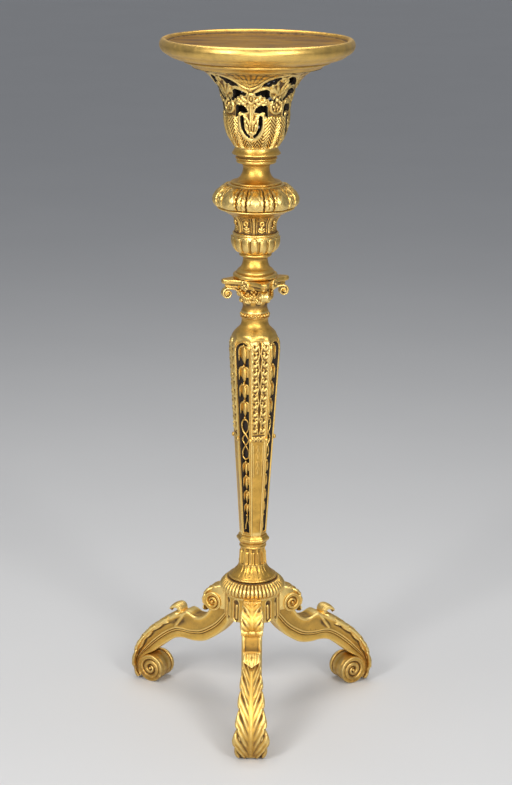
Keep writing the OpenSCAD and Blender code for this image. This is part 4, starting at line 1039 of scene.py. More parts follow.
def panel_carving(u, v):
    """A bead round the opening, on a ground that is a little lower."""
    far = from_window(u, v)
    bead = 2.0 * ridge(np.abs(far - 1.7), 1.6)
    ground = -0.6 * rise(far, 3.2, 3.8)
    return bead + ground * rise(v, WINDOW_FOOT, WINDOW_FOOT + 5)


for k in range(4):
    u, v = board_grid(PANEL_HALF, 29, 330)
    place = board_place(FRONT + SHAFT_TURN + 45 + 90 * k, PANEL_HALF)
    # Painted shade: the walls of each opening and the back of the panel are near-black.
    board = cut_sheet(u, v, place, BOARD, from_window, panel_carving) + ((0, 1),)
    build(f"pierced_panel_{k + 1}", [board], (TURNED_GOLD, CORE_AND_SHADE_BLACK), "shaft_gilt", [f"panel_{k + 1}"],
          reach=6, depth=0.8, sharp=55)

# %% [markdown]
# ## The strings of husks
# In each opening hangs a string of husks, the three-petalled buds of old ornament, with beads between
# them and a laced strap half way. A husk is carved once. A Geometry Nodes tree then sets it on each
# point of the string, with the point's own size and turn, which is how a carver's pattern is used.
# The tree ends by realizing its instances, so that the string is an ordinary mesh.

# %% One husk, and one bead
PETAL_STEPS = 16


def loose_shape(name, shells, reach=4):
    """A shape of about unit size, kept out of the scene, that a tree sets on points."""
    return bpy.data.objects.new(name, shell_mesh(name, shells, 1.0, reach, 0.05, 55))


def petal(points, girths, sides, flat, out=0.0):
    """A flattened rod along (x, z) points, thick at `girths` and pressed flat towards the board."""
    line = along_line(points, PETAL_STEPS, 0.02)
    girth = np.interp(np.linspace(0, 1, PETAL_STEPS), np.linspace(0, 1, len(girths)), girths)
    path = np.stack([line[:, 0], np.full(PETAL_STEPS, -out), line[:, 1]], 1)
    return rod(path, girth, sides, flat, up=(0, 1, 0))


def husk_shells():
    """A bud with two curved side petals and a tongue between them. It is 1 wide and hangs from z = 0."""
    side = [(0.02, -0.045), (0.17, -0.045), (0.31, -0.09), (0.405, -0.20), (0.43, -0.38), (0.425, -0.60),
            (0.44, -0.80), (0.465, -0.94)]
    left = [(-x, z) for x, z in side]
    girth = (0.05, 0.062, 0.072, 0.078, 0.078, 0.075, 0.055, 0.012)
    tongue = [(0, -0.10), (0, -0.3), (0, -0.55), (0, -0.8), (0, -1.0)]
    back = [(0, -0.03), (0, -0.2), (0, -0.4), (0, -0.66)]
    return [petal(side, girth, 10, 1.9, 0.02), petal(left, girth, 10, 1.9, 0.02),
            petal(tongue, (0.08, 0.19, 0.22, 0.15, 0.015), 14, 0.85, 0.06),
            petal(back, (0.2, 0.36, 0.38, 0.30), 14, 0.22, -0.02)]


HUSK = loose_shape("husk_pattern", husk_shells(), 3)
round_line = [(math.cos(a), math.sin(a)) for a in np.linspace(-math.pi / 2 + 0.15, math.pi / 2 - 0.15, 7)]
BEAD = loose_shape("bead_pattern", [spin(round_line, 12)])

# %% The tree that sets a shape on points


def pattern_tree():
    """Sets a shape on every point, by the point's own `turn` and `size`, and gives it its finish."""
    tree = bpy.data.node_groups.new("carver_pattern", "GeometryNodeTree")
    sockets = {}
    kinds = {"Points": "Geometry", "Shape": "Object", "Size": "Float", "Finish": "Material"}
    for label, kind in kinds.items():
        socket = tree.interface.new_socket(label, in_out="INPUT", socket_type="NodeSocket" + kind)
        sockets[label] = socket.identifier
    tree.interface.new_socket("Carving", in_out="OUTPUT", socket_type="NodeSocketGeometry")

    def node(kind, **settings):
        made = tree.nodes.new(kind)
        for key, value in settings.items():
            setattr(made, key, value)
        return made

    def own_value(label):
        made = node("GeometryNodeInputNamedAttribute", data_type="FLOAT_VECTOR")
        made.inputs["Name"].default_value = label
        return made.outputs["Attribute"]

    given, result = node("NodeGroupInput"), node("NodeGroupOutput")
    shape = node("GeometryNodeObjectInfo")
    turn = node("FunctionNodeEulerToRotation")
    size = node("ShaderNodeVectorMath", operation="SCALE")
    instances = node("GeometryNodeInstanceOnPoints")
    real = node("GeometryNodeRealizeInstances")
    finish = node("GeometryNodeSetMaterial")
    link = tree.links.new
    link(given.outputs["Shape"], shape.inputs["Object"])
    link(own_value("turn"), turn.inputs["Euler"])
    link(own_value("size"), size.inputs[0])
    link(given.outputs["Size"], size.inputs["Scale"])
    link(given.outputs["Points"], instances.inputs["Points"])
    link(shape.outputs["Geometry"], instances.inputs["Instance"])
    link(turn.outputs["Rotation"], instances.inputs["Rotation"])
    link(size.outputs["Vector"], instances.inputs["Scale"])
    link(instances.outputs["Instances"], real.inputs["Geometry"])
    link(real.outputs["Geometry"], finish.inputs["Geometry"])
    link(given.outputs["Finish"], finish.inputs["Material"])
    link(finish.outputs["Geometry"], result.inputs["Carving"])
    return tree, sockets


PATTERN, PATTERN_SOCKETS = pattern_tree()


def set_pattern(name, shape, places, turns, sizes, finish, nodes, size=1.0):
    """Carvings of one pattern: places and sizes in millimetres, turns as angles about X, Y and Z."""
    mesh = bpy.data.meshes.new(name + "_points")
    mesh.from_pydata((np.asarray(places, float) * MM).tolist(), [], [])
    for label, values in (("turn", np.asarray(turns, float)), ("size", np.asarray(sizes, float) * MM)):
        mesh.attributes.new(label, "FLOAT_VECTOR", "POINT").data.foreach_set("vector", values.ravel())
    points = bpy.data.objects.new(name, mesh)
    bpy.context.scene.collection.objects.link(points)
    modifier = points.modifiers.new("pattern", "NODES")
    modifier.node_group = PATTERN
    modifier[PATTERN_SOCKETS["Shape"]] = shape
    modifier[PATTERN_SOCKETS["Size"]] = size
    modifier[PATTERN_SOCKETS["Finish"]] = finish
    graph = bpy.context.evaluated_depsgraph_get()
    made = bpy.data.meshes.new_from_object(points.evaluated_get(graph), depsgraph=graph)
    points.modifiers.clear()
    points.data = made
    made.name = name
    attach(points, "root")
    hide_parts(*nodes)
    print(name, "faces:", len(made.polygons))
    return points


# %% The strings
HUSKS = [(789, 39), (746, 34), (709, 33), (672, 32), (541, 27), (511, 29), (478, 25), (449.5, 22)]
BEADS = [(797.5, 3.4), (790.5, 2.6), (747.5, 2.6), (711, 2.5), (675, 2.5), (638, 2.6), (543.5, 2.5),
         (512.5, 2.4), (479.5, 2.3), (451.5, 2.0), (425.5, 2.8)]
LACE = [(634, 0), (631.5, 4.8), (625, 7.4), (616, 7.6), (608, 4.2), (602.5, 0), (597, -4.8), (590.5, -7.6),
        (584, -4.8), (578, 0), (571, 4.4), (562, 7.2), (554.5, 6.6), (550, 3.4), (548.6, 0)]
CORE_DROP = 9.4


def on_string(angle, across, z, drop):
    """A point in an opening, `drop` mm below the panel's face."""
    face = shaft_corner(z) * math.cos(math.radians(PANEL_HALF)) - drop
    return turned_about([face, across, z], angle)


def husk_string(k):
    """The husks, beads and laced strap of panel `k`, with the fork at their foot."""
    angle = FRONT + SHAFT_TURN + 45 + 90 * k
    turn = math.radians(angle + 90)
    tilt = math.atan(SPREAD * math.cos(math.radians(PANEL_HALF)) / (SHAFT_HEAD - SHAFT_FOOT))
    places = [on_string(angle, 0, z, CORE_DROP - 3.0) for z, h in HUSKS]
    sizes = [(2 * window_half(z - h / 2), 19, h) for z, h in HUSKS]
    set_pattern(f"husk_string_{k + 1}_husks", HUSK, places, [(tilt, 0, turn)] * len(HUSKS), sizes,
                TURNED_GOLD, [f"husk_string_{k + 1}"])
    places = [on_string(angle, 0, z, CORE_DROP - 4.6) for z, r in BEADS]
    set_pattern(f"husk_string_{k + 1}_beads", BEAD, places, [(0, 0, turn)] * len(BEADS),
                [(r, 4.2, r) for z, r in BEADS], TURNED_GOLD, [f"husk_string_{k + 1}"])
    straps = []
    for side in (-1, 1):
        weave = smooth_line([(side * x, z) for z, x in LACE], 1.6)
        fork = smooth_line([(side * x, z) for x, z in ((0.3, 422), (1.8, 412), (4.2, 402), (5.0, 394))], 1.6)
        for line, radius, drop in ((weave, 2.05, 4.7 + 0.6 * side), (fork, 1.6, 5.4)):
            straps.append(rod([on_string(angle, x, z, drop) for x, z in line], radius, 8, 0.8,
                              up=(0.01, 0, 1)))
    build(f"husk_string_{k + 1}_lace", straps, (TURNED_GOLD,), "shaft_gilt", [f"husk_string_{k + 1}"],
          reach=3, depth=0.8)


for k in range(4):
    husk_string(k)

# %% The buttons and the beaded ring
BUTTON_Z = 592
button_angles = [FRONT + SHAFT_TURN + side * PILASTER_HALF + 90 * k for k in range(4) for side in (-1, 1)]
button_line = smooth_line([(0.02, -0.2), (0.62, -0.2), (0.62, -0.2), (0.7, 0.1), (0.62, 0.4), (0.62, 0.4),
                           (0.95, 0.6), (1.0, 0.85), (0.85, 1.2), (0.5, 1.42), (0.02, 1.5)], 0.12)
BUTTON = loose_shape("button_pattern", [spin(button_line, 20)])
button_places = [turned_about([shaft_corner(BUTTON_Z) - 1.0, 0, BUTTON_Z], a) for a in button_angles]
button_turns = [(0, math.pi / 2, math.radians(a)) for a in button_angles]
set_pattern("corner_buttons", BUTTON, button_places, button_turns, [(4.6, 4.6, 4.6)] * len(button_angles),
            TURNED_GOLD, ["shaft_buttons"])

BEAD_RING_FOOT, BEAD_RING_HEAD = foot("bead_ring"), head("bead_ring")
BEAD_COUNT = 24
bead_middle = (BEAD_RING_FOOT + BEAD_RING_HEAD) / 2
bead_turns = np.arange(BEAD_COUNT) * 360 / BEAD_COUNT
set_pattern("ring_of_beads", BEAD, [turned_about([27.2, 0, bead_middle], a) for a in bead_turns],
            [(0, 0, math.radians(a)) for a in bead_turns], [(3.4, 3.3, 3.4)] * BEAD_COUNT, TURNED_GOLD,
            ["bead_ring"])
turned_piece("bead_ring_body", "bead_ring", BEAD_RING_FOOT, [
    (2, 0.1), (27, 0.1), (27, 0.1), (27.2, 1), (26.6, 2), (26.6, 5), (27.2, 6), (26.8, 6.9), (26.8, 6.9),
    (2, 6.9)])

# %% [markdown]
# ## The legs
# Each leg is one board of hardwood, sawn to a double curve, moulded on both faces, with a scroll at the
# knee and another at the foot. A long acanthus leaf grows up its outer face from the foot, and its tip
# curls away from the crest as a hook. A leg is drawn once, in its own plane: s is the distance from the
# column's axis, w is across the leg and z is up. Three turned copies stand round the hub.

# %% The leg's side view
LEG_HALF = 20.5
FOOT_MIDDLE, FOOT_R, FOOT_HALF = (240, 30.0), 29.8, 26.5
KNEE_MIDDLE, KNEE_R, KNEE_HALF = (84.9, 217.2), 20.5, 23.5
UNDERSIDE = [(44, 185), (47, 176), (54, 165), (67, 149), (88, 132), (106, 121.5), (124, 117), (138, 116),
             (153, 117), (166, 116), (179, 112), (192, 103.5), (204, 94), (217, 83.5), (231, 72), (243, 63.5),
             (254, 56.5), (262, 48.5), (267, 39), (267.5, 26), (261, 12)]
TOPSIDE = [(58, 248), (63, 238), (74, 226), (84, 212), (94, 196), (102, 184.5), (111, 176.5), (122, 171.5),
           (134, 171.5), (145, 176.5), (153, 178), (164, 172.5), (177, 165.5), (192, 156), (207, 145.5),
           (226, 132), (244, 115.5), (260, 96.5), (272.5, 75), (278.5, 55), (279.5, 38), (276.5, 20),
           (268, 5)]


def from_plane(s, w, z):
    """Points of the leg's own plane as points in space, for a leg that points along +X."""
    return np.stack(np.broadcast_arrays(s, w, z), -1).astype(float)


# %% The moulded body of the leg
STATIONS = 150
HOOK_SEAM = [(153, 178), (161, 167), (170, 154), (179.5, 140)]


def leg_body():
    """The sawn board, station by station: mouldings on both faces, a fringe of leaf and a round top."""
    low, high = along_line(UNDERSIDE, STATIONS), along_line(TOPSIDE, STATIONS)
    rings = []
    for share, a, b in zip(np.linspace(0, 1, STATIONS), low, high):
        thick = np.linalg.norm(b - a)
        room = np.clip(thick / 48, 0.22, 1)
        band = 16.0 * room
        up = np.r_[np.linspace(0, band + 12 * room, 31)[:-1], np.linspace(band + 12 * room, thick, 16)]
        face = a + up[:, None] * (b - a) / thick
        hollow = np.clip((up - band - 10 * room) / np.maximum(thick - band - 12.5 * room, 1), 0, 1)
        side = np.maximum.reduce([
            4.6 * dome((up / band - 0.5) / 0.56) ** 0.8,
            3.4 * ridge(np.abs(up - band - 3.4 * room), 2.3 * room),
            4.4 * ridge(np.abs(up - band - 8.6 * room), 3.0 * room),
            3.8 * ridge(np.abs(thick - up - 1.6), 2.6),
            (3.2 - 3.0 * np.sin(math.pi * hollow) ** 0.9) * (up > band + 8.6 * room),
            4.2 * np.exp(-((off_line(face[:, 0], face[:, 1], HOOK_SEAM) / 2.8) ** 2))])
        fringe = (5.5 + 3.0 * np.abs(np.sin(share * 34))) * min(1.0, thick / 30)
        leafy = rise(share, 0.50, 0.53)
        on_leaf = rise(fringe - (thick - up), -0.6, 0.6) * leafy
        seam = 1.4 * np.exp(-(((thick - up - fringe - 1.2) / 1.0) ** 2)) * leafy
        side = np.maximum(side, 4.9 * on_leaf) - seam
        round_edge = 1.6 * (1 - dome(1 - np.clip(np.minimum(up, thick - up) / 2.2, 0, 1)))
        half = LEG_HALF - 3.9 + 5.2 * rise(share, 0.74, 0.93) + side - round_edge
        across = np.linspace(-1, 1, 22)[1:-1]
        normal = (b - a) / thick
        crown = 0.4 + 1.5 * dome(across / 0.72) + 0.8 * ridge(np.abs(np.abs(across) - 0.86), 0.13)
        top = b + normal * (crown[:, None] - 0.6)
        under = a - normal * 0.5 * dome(across)[:, None]
        width_top, width_low = half[-1] * across, half[0] * across
        rings.append(np.concatenate([
            from_plane(face[:, 0], half, face[:, 1]),
            from_plane(top[:, 0], -width_top, top[:, 1]),
            from_plane(face[::-1, 0], -half[::-1], face[::-1, 1]),
            from_plane(under[:, 0], width_low, under[:, 1])]))
    return loft(rings)


# %% [markdown]
# The scrolls are drums that lie across the leg. A spiral is a height too: at each angle the ridge lies
# a little nearer the eye than it did a turn before, so the distance to the nearest ridge gives the
# rounded band, and what lies between is the dark groove.

# %% The scrolls
RIM_ROUND = 2.0
GROOVE = 3.6


def spiral_face(rim, pitch, eye, height, band, start):
    """The relief on a scroll's round face: a plain rim, a spiral band that winds in, and an eye."""
    def relief(theta, level, radius):
        turns = (rim - radius) / pitch - (start - theta) / (2 * math.pi)
        away = np.abs(turns - np.round(turns)) * pitch
        spiral = (height + GROOVE) * ridge(away, band) - GROOVE
        inner = rise(radius, eye + 0.5, eye + 2.5)
        knob = (height + GROOVE + 1.0) * dome(radius / eye) - GROOVE
        surface = np.where(radius > eye, spiral * inner - GROOVE * (1 - inner), knob)
        edge = rise(radius, rim - 1.5, rim + 0.5)
        return surface * (1 - edge)

    return relief


def scroll(middle, radius, half, relief):
    """A drum across the leg with a carved face on both sides, and a collar behind each face."""
    steps = np.linspace(0.4, radius - RIM_ROUND, 40)
    edge = smooth_line([(radius - 0.6, 0.6), (radius, RIM_ROUND), (radius, 6), (radius - 0.8, 7.2),
                        (radius - 3.4, 8), (radius - 3.0, 9.6), (radius - 1.8, 12), (radius - 1.6, half)],
                       1.5)
    outline = np.concatenate([
        np.stack([steps, np.full(40, -half)], 1), edge - [0, half], edge[-2::-1] * [1, -1] + [0, half],
        np.stack([steps[::-1], np.full(40, half)], 1)])
    points, faces = spin(outline, 120, relief, turn=math.pi / 2)
    return from_plane(middle[0] + points[:, 0], points[:, 2], middle[1] + points[:, 1]), faces


# %% [markdown]
# A leaf on the leg is a ribbon with a thickness. It follows a line in the leg's plane, its width
# changes along that line, its edge is toothed, and veins rise from the midrib. The same function makes
# the long leaf and the short leaf over the knee. The hook at the long leaf's tip is a plainer ribbon
# that curls right over.

# %% The leaves of the leg
LEAF_WRAP = 2.6


def leaf_ribbon(line, widths, thickness, lobes, height, teeth, sweep, rows, columns, bow=0.0):
    """A leaf on a line of (s, z), whose tip is at the line's start. `widths` and `thickness` are lists of
    (share, mm) along the line. `sweep` leans the veins, and `bow` lets the back follow the relief."""
    path = along_line(line, rows)
    t = np.linspace(0, 1, rows)
    along = unit(np.gradient(path, axis=0))
    normal = np.stack([-along[:, 1], along[:, 0]], 1)
    half = np.interp(t, *zip(*widths))
    thick = np.interp(t, *zip(*thickness))
    tt, xx = np.meshgrid(1 - t, np.linspace(-1, 1, columns), indexing="ij")
    side = np.abs(xx)
    beat = tt * lobes - sweep * side**0.75
    step = beat % 1
    lobe = rise(step, 0.0, 0.14) * (1 - 0.55 * rise(step, 0.25, 1.0))
    notch = 1 - np.abs(np.sin(math.pi * ((tt * lobes - sweep) % 1) ** 0.7)) ** 0.6
    tooth = 1 - teeth * notch * rise(side, 0.5, 1)
    vein = np.abs(np.sin(math.pi * beat * 2 + 0.6)) ** 1.3 * rise(side, 0.08, 0.30)
    rib = np.exp(-((xx / 0.17) ** 2))
    eye = np.exp(-(((side - 0.66) / 0.13) ** 2 + (np.abs((beat + 0.5) % 1 - 0.5) / 0.11) ** 2))
    relief = height * (0.60 * lobe * rise(side, 0.12, 0.5) + 0.40 * vein + 0.45 * rib - 0.75 * eye)
    fade = dome(np.clip((side - 0.80) / 0.20, 0, 1)) ** 0.8
    relief = relief * (0.35 + 0.65 * fade)
    bend = -LEAF_WRAP * side**2.2
    w = xx * half[:, None] * tooth
    front = bend + thick[:, None] / 2 * (0.3 + 0.7 * fade) + relief
    back = bend - thick[:, None] / 2 * (0.3 + 0.7 * fade) - 0.35 * relief * bow
    return slab(*[from_plane(path[:, :1] + normal[:, :1] * out, w, path[:, 1:] + normal[:, 1:] * out)
                  for out in (front, back)])


LONG_LEAF = [(165, 170), (172, 169.5), (182, 165), (194, 157), (209, 146.5), (228, 132.6), (246.5, 115.5),
             (262, 96.5), (273.3, 75), (277.9, 56), (278.7, 38), (276.2, 20), (270.5, 5.3)]
LONG_LEAF_HALF = [(0, 15), (0.06, 20), (0.14, 21), (0.28, 23.5), (0.42, 26.5), (0.58, 29.5), (0.72, 34),
                  (0.82, 37.5), (0.90, 37), (0.96, 33), (1, 30)]
LONG_LEAF_THICK = [(0, 3), (0.08, 5), (0.3, 4), (1, 4)]
HOOK = [(178, 155), (173.5, 163.5), (171.5, 171), (172.5, 177.5), (177, 181.6), (184, 182), (191, 178.5),
        (197, 171), (199.5, 165)]
KNEE_LEAF = [(66, 253), (75, 251.5), (85, 248.6), (95, 243.4), (103, 235.5), (107.6, 226), (108.8, 216.5),
             (107, 208), (103.5, 202.5)]
KNEE_LEAF_HALF = [(0, 18), (0.2, 21), (0.45, 24), (0.75, 24.5), (0.9, 23), (1, 19)]


def curled_tip():
    """The tip of the long leaf. It curls off the crest, and its lip hangs lowest in the middle."""
    line = along_line(HOOK, 120)
    across, far = np.meshgrid(np.linspace(-1, 1, 33), np.linspace(0, 1, 56))
    at = far * (1 - 0.20 * np.abs(across) * rise(far, 0.4, 1.0))
    along = unit(np.gradient(line, axis=0))
    base = np.linspace(0, 1, 120)
    s, z = (np.interp(at, base, line[:, axis]) for axis in (0, 1))
    ds, dz = (np.interp(at, base, along[:, axis]) for axis in (0, 1))
    half = np.interp(far, (0, 0.25, 0.5, 0.8, 1), (14.5, 14, 15.5, 17.5, 17.5))
    thin_sides = 0.35 + 0.65 * dome(across * 0.98)
    thick = np.interp(far, (0, 0.3, 0.6, 0.85, 1), (15, 13, 10, 6, 2)) / 2 * thin_sides
    vein = 0.9 * np.abs(np.sin(math.pi * (3.2 * np.abs(across) ** 0.8 + 0.9 * far))) * rise(far, 0.25, 0.5)
    return slab(*[from_plane(s - dz * out, across * half, z + ds * out) for out in (thick + vein, -thick)])


def knee_block():
    """The wood between the hub, the knee's scroll and the leaf on top."""
    side = smooth_line([(50, 204), (50, 204), (52, 251), (52, 251), (64, 252), (79, 249.5), (91, 243),
                        (100, 233), (104, 222), (102, 208), (90, 203), (90, 203), (50, 204)], 2.5)[:-1]
    halves = np.array([-19.6, -18.8, -9, 0, 9, 18.8, 19.6])
    middle = side.mean(0)
    rings = []
    for w, share in zip(halves, (0.97, 1, 1, 1, 1, 1, 0.97)):
        ring = middle + (side - middle) * share
        rings.append(from_plane(ring[:, 0], w, ring[:, 1]))
    return loft(rings)


def knee_leaf():
    """The short leaf over the knee, with its lip above and its three curled tips below."""
    leaf = leaf_ribbon(KNEE_LEAF, KNEE_LEAF_HALF, [(0, 4), (1, 4)], lobes=2.9, height=2.6, teeth=0.2,
                       sweep=1.1, rows=84, columns=44)
    curl = along_line([(101, 210), (105.5, 206), (108, 201), (107.2, 196), (103, 193.6), (99, 196)], 40)
    across, far = np.meshgrid(np.linspace(-1, 1, 49), np.linspace(0, 1, 24))
    lobe = np.abs(np.sin(1.5 * math.pi * (across + 1))) ** 0.6
    s, z = (np.interp(far * (0.62 + 0.38 * lobe), np.linspace(0, 1, 40), curl[:, axis]) for axis in (0, 1))
    tips = slab(from_plane(s + 1.8 * lobe, across * 22.5, z), from_plane(s - 2.4, across * 22.0, z + 0.6))
    across, far = np.meshgrid(np.linspace(-1, 1, 33), np.linspace(0, 1, 10))
    sag = 7.5 * (1 - across**2)
    s = 64 + far * (12 + sag)
    z = 254.6 - 0.2 * far**2 * (s - 58) + 1.2 * np.sin(math.pi * far)
    lip = slab(*[from_plane(s, across * (15 + 4 * far), z - deep) for deep in (0, 2.8)])
    return [leaf, tips, lip]


def at_leg(shells, k):
    """The same shells, turned about the column to leg `k`."""
    return [(turned_about(shell[0], FRONT + 120 * k),) + tuple(shell[1:]) for shell in shells]


foot_relief = spiral_face(rim=23.2, pitch=11.8, eye=3.6, height=0.9, band=4.9, start=0.3)
knee_relief = spiral_face(rim=15.6, pitch=9.2, eye=3.8, height=1.0, band=3.7, start=1.2)
leg_shells = [
    leg_body(),
    scroll(FOOT_MIDDLE, FOOT_R, FOOT_HALF, foot_relief),
    scroll(KNEE_MIDDLE, KNEE_R, KNEE_HALF, knee_relief),
    knee_block(),
    curled_tip(),
    leaf_ribbon(LONG_LEAF, LONG_LEAF_HALF, LONG_LEAF_THICK, lobes=5.5, height=3.8, teeth=0.17, sweep=1.6,
                rows=190, columns=48, bow=1.0)]
knee_shells = knee_leaf()
for k in range(3):
    build(f"scrolled_leg_{k + 1}", at_leg(leg_shells, k), (LEG_GOLD,), "leg_gilt", [f"leg_{k + 1}"], reach=9,
          depth=1.2)
    build(f"knee_acanthus_{k + 1}", at_leg(knee_shells, k), (LEG_GOLD,), "leg_gilt", [f"knee_leaf_{k + 1}"],
          reach=7, depth=1.1)

# %% The hidden pieces
for node, finish in (("shaft_core", CORE_AND_SHADE_BLACK), ("leg_pegs", BARE_WOOD), ("tray_screws", IRON)):
    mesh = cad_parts[node].data
    mesh.materials.clear()
    mesh.materials.append(finish)
    print(node, "wears", finish.name)

# %% [markdown]
# ## The bell
# The bell is a hollow turned vase whose wall is sawn through and carved in four repeats. Its ornament is
# laid out once, as if on paper: x is the distance from the middle of a motif at the bell's waist, and
# the height is real. A leaf here is a cluster of lobes, and each has its middle, lean and size.

# %% Leaves made of lobes


def lobe(x, z, middle, lean, long, wide):
    """A lobe with a vein. It is `long` and `wide` from its middle, and leans `lean` degrees towards +x."""
    c, s = math.cos(math.radians(lean)), math.sin(math.radians(lean))
    across, up = c * (x - middle[0]) - s * (z - middle[1]), s * (x - middle[0]) + c * (z - middle[1])
    body = dome(np.hypot(across / (wide * (1.0 + 0.25 * up / long)), up / long))
    return body * (1 - 0.30 * np.exp(-((across / (0.20 * wide)) ** 2)))


def leafage(x, z, lobes):
    """The highest of several lobes, each with its own height."""
    return np.maximum.reduce([height * lobe(x, z, *shape) for *shape, height in lobes])


def ball(x, z, middle, radius):
    """A ball that stands half out of the wall."""
    return dome(np.hypot(x - middle[0], z - middle[1]) / radius)


# %% The bell's side
BELL_FOOT = foot("bell")
BELL_TURN = -9.5
BELL_WAIST = 66
BELL_WALL = 8
flare = [(126 - 62 * math.cos(a), 62.5 + 93 * math.sin(a)) for a in np.linspace(0.06, math.pi / 2, 14)]
bell_line = smooth_line([(42.2, 0.2), (43.6, 5), (47.4, 11), (52, 18), (56, 25), (59.4, 33), (62, 42),
                         (63.6, 52), (64, 62)] + flare, 1.6) + [0, BELL_FOOT]
bell_along = unit(np.gradient(bell_line, axis=0))


def bell_place(u, v, out):
    """Where a point of the bell's wall is: u degrees round it, at height v, and out from its face."""
    r = np.interp(v, bell_line[:, 1], bell_line[:, 0]) + np.interp(v, bell_line[:, 1], bell_along[:, 1]) * out
    z = v - np.interp(v, bell_line[:, 1], bell_along[:, 0]) * out
    a = np.radians(u) - math.pi / 2
    return np.stack([r * np.cos(a), r * np.sin(a), z], -1)


# %% The bell's openings
UPPER_SLOT = [(6.6, 1296.5), (12, 1299), (19, 1302.5), (27, 1304.5), (33, 1301), (33.5, 1294), (36, 1288),
              (41, 1284), (38.5, 1279), (34, 1281), (31.5, 1285.5), (27.5, 1283.5), (25.5, 1289),
              (21, 1288.5), (18, 1293.5), (13, 1290.5), (9, 1291)]
LOWER_SLOT = [(5.6, 1259), (8.5, 1265.5), (14, 1270.5), (19, 1273), (24, 1271.5), (29, 1273.5),
              (32.5, 1268.5), (33, 1259), (34, 1251), (31.5, 1247), (29, 1250.5), (27.5, 1257), (22, 1259.5),
              (17.5, 1256.5), (11, 1257.5)]
TOP_SLOT = [(17.5, 1309), (21, 1315.5), (28, 1322), (35, 1326.5), (43, 1329), (46.5, 1325.5), (42, 1320),
            (40.5, 1313.5), (35, 1314), (31, 1309), (25, 1310.5)]
HANGING_U = [(18.8, 1249), (19.0, 1238), (16.8, 1225), (11.6, 1215.6), (6.2, 1211.4)]
BALL_SLOT = [(46.2, 1288), (43.5, 1284), (41.0, 1279.5), (44.5, 1277.5), (47.0, 1281.5)]


def motif_x(u):
    """Distance from the middle of the nearest hanging flower, in mm at the waist."""
    return np.abs(fold(np.radians(u), 4, BELL_TURN)) * math.pi / 180 * BELL_WAIST


def bell_left(u, v):
    """Distance from the nearest sawn slot, more than 0 in the wood."""
    x = motif_x(u)
    slots = [from_shape(x, v, corners) for corners in (UPPER_SLOT, LOWER_SLOT, TOP_SLOT, BALL_SLOT)]
    return np.minimum.reduce(slots + [off_line(x, v, HANGING_U) - 3.1 - 0.8 * rise(v, 1214, 1240)])


# %% The bell's carving
ARCH_STRAP = [(0, 1304.5), (7, 1306.5), (13.5, 1311), (20, 1318.5), (28, 1326), (38, 1331.5), (52, 1334)]
U_STRAP = [(24.8, 1252), (25.6, 1238), (24.0, 1223), (17.6, 1210.5), (8.6, 1204.2), (0, 1202.6)]
HALF_REPEAT = 45 * math.pi / 180 * BELL_WAIST
OVAL_Z, OVAL_HALF, OVAL_LONG = 1285, 5.4, 9.0
CUP_Z, CUP_R = 1268.5, 12.6
FAN_Z = 1296
HANGING_LEAVES = [
    ((9.5, 1280.5), 68, 7.5, 3.4, 3.4), ((16.0, 1284.5), 32, 6.5, 3.4, 4.2),
    ((22.0, 1279.5), 72, 7.0, 3.6, 4.4), ((14.5, 1274.5), 105, 6.5, 2.8, 3.4),
    ((6.0, 1272.0), 150, 6.0, 2.4, 3.0), ((28.6, 1277.6), 60, 3.6, 3.2, 4.0),
    ((18.5, 1250.5), 62, 6.5, 3.8, 4.4), ((24.5, 1253.5), 95, 4.2, 3.2, 4.4),
    ((10.5, 1246.5), 45, 8.0, 3.4, 3.6), ((12.5, 1238.5), 12, 7.5, 2.6, 3.4),
    ((5.5, 1238.0), 30, 8.5, 2.8, 3.2), ((8.6, 1229.5), 15, 7.0, 2.4, 3.2), ((2.6, 1228.0), 5, 8.0, 2.2, 3.0),
    ((0.0, 1327.0), 0, 9.0, 4.4, 2.8), ((9.5, 1331.0), -38, 9.0, 3.6, 2.6),
    ((19.0, 1336.0), -62, 8.0, 3.0, 2.2), ((5.0, 1338.0), -20, 6.0, 2.6, 2.2)]
UPRIGHT_LEAVES = [
    ((8.5, 1299.5), 40, 12.5, 4.0, 4.0), ((15.0, 1309.0), 45, 6.5, 3.2, 4.2),
    ((14.5, 1299.0), 68, 6.5, 3.0, 3.4), ((4.0, 1303.0), 16, 9.5, 3.0, 3.4),
    ((0.0, 1297.0), 0, 8.0, 2.6, 3.0), ((7.5, 1313.5), 20, 5.0, 2.6, 3.0), ((0.0, 1271.0), 0, 4.6, 2.8, 4.0),
    ((5.2, 1267.5), 62, 4.8, 2.8, 4.0), ((3.0, 1262.5), 150, 3.6, 2.2, 3.4),
    ((11.0, 1248.0), 120, 8.0, 3.2, 3.0), ((4.0, 1246.0), 160, 8.0, 2.8, 3.0)]


def feathers(x, v):
    """The slanting strokes that cover the lower part of the bell, as a row of long plumes."""
    apart = 2 * HALF_REPEAT / 4
    near = np.abs((HALF_REPEAT - x + apart / 2) % apart - apart / 2)
    stroke = np.abs(np.sin(math.pi * (v - 1.1 * near) / 7.2))
    inside = np.interp(v, [z for _, z in U_STRAP[::-1]], [x for x, _ in U_STRAP[::-1]])
    plume = (0.2 + 3.7 * stroke) * dome(near / (0.60 * apart)) ** 0.3
    return plume * rise(1252 - v, 0, 5) * np.where(v < U_STRAP[-1][1], 1, rise(x - inside, -2, 0))


def spandrel(x, v):
    """Leaves that fill the wall over the arch. They fan out from the middle, and their edges are lobed."""
    reach, turn = np.hypot(x, v - FAN_Z), np.degrees(np.arctan2(x, v - FAN_Z))
    beat = reach / 9.5 - 0.022 * turn
    blade = dome(((beat % 1) - 0.45) / 0.56) ** 0.7 * (1 - 0.35 * np.abs(np.sin(turn * math.pi / 11)) ** 6)
    return (0.9 + 2.2 * blade) * rise(v - 1307 - 0.55 * x, 0, 5)


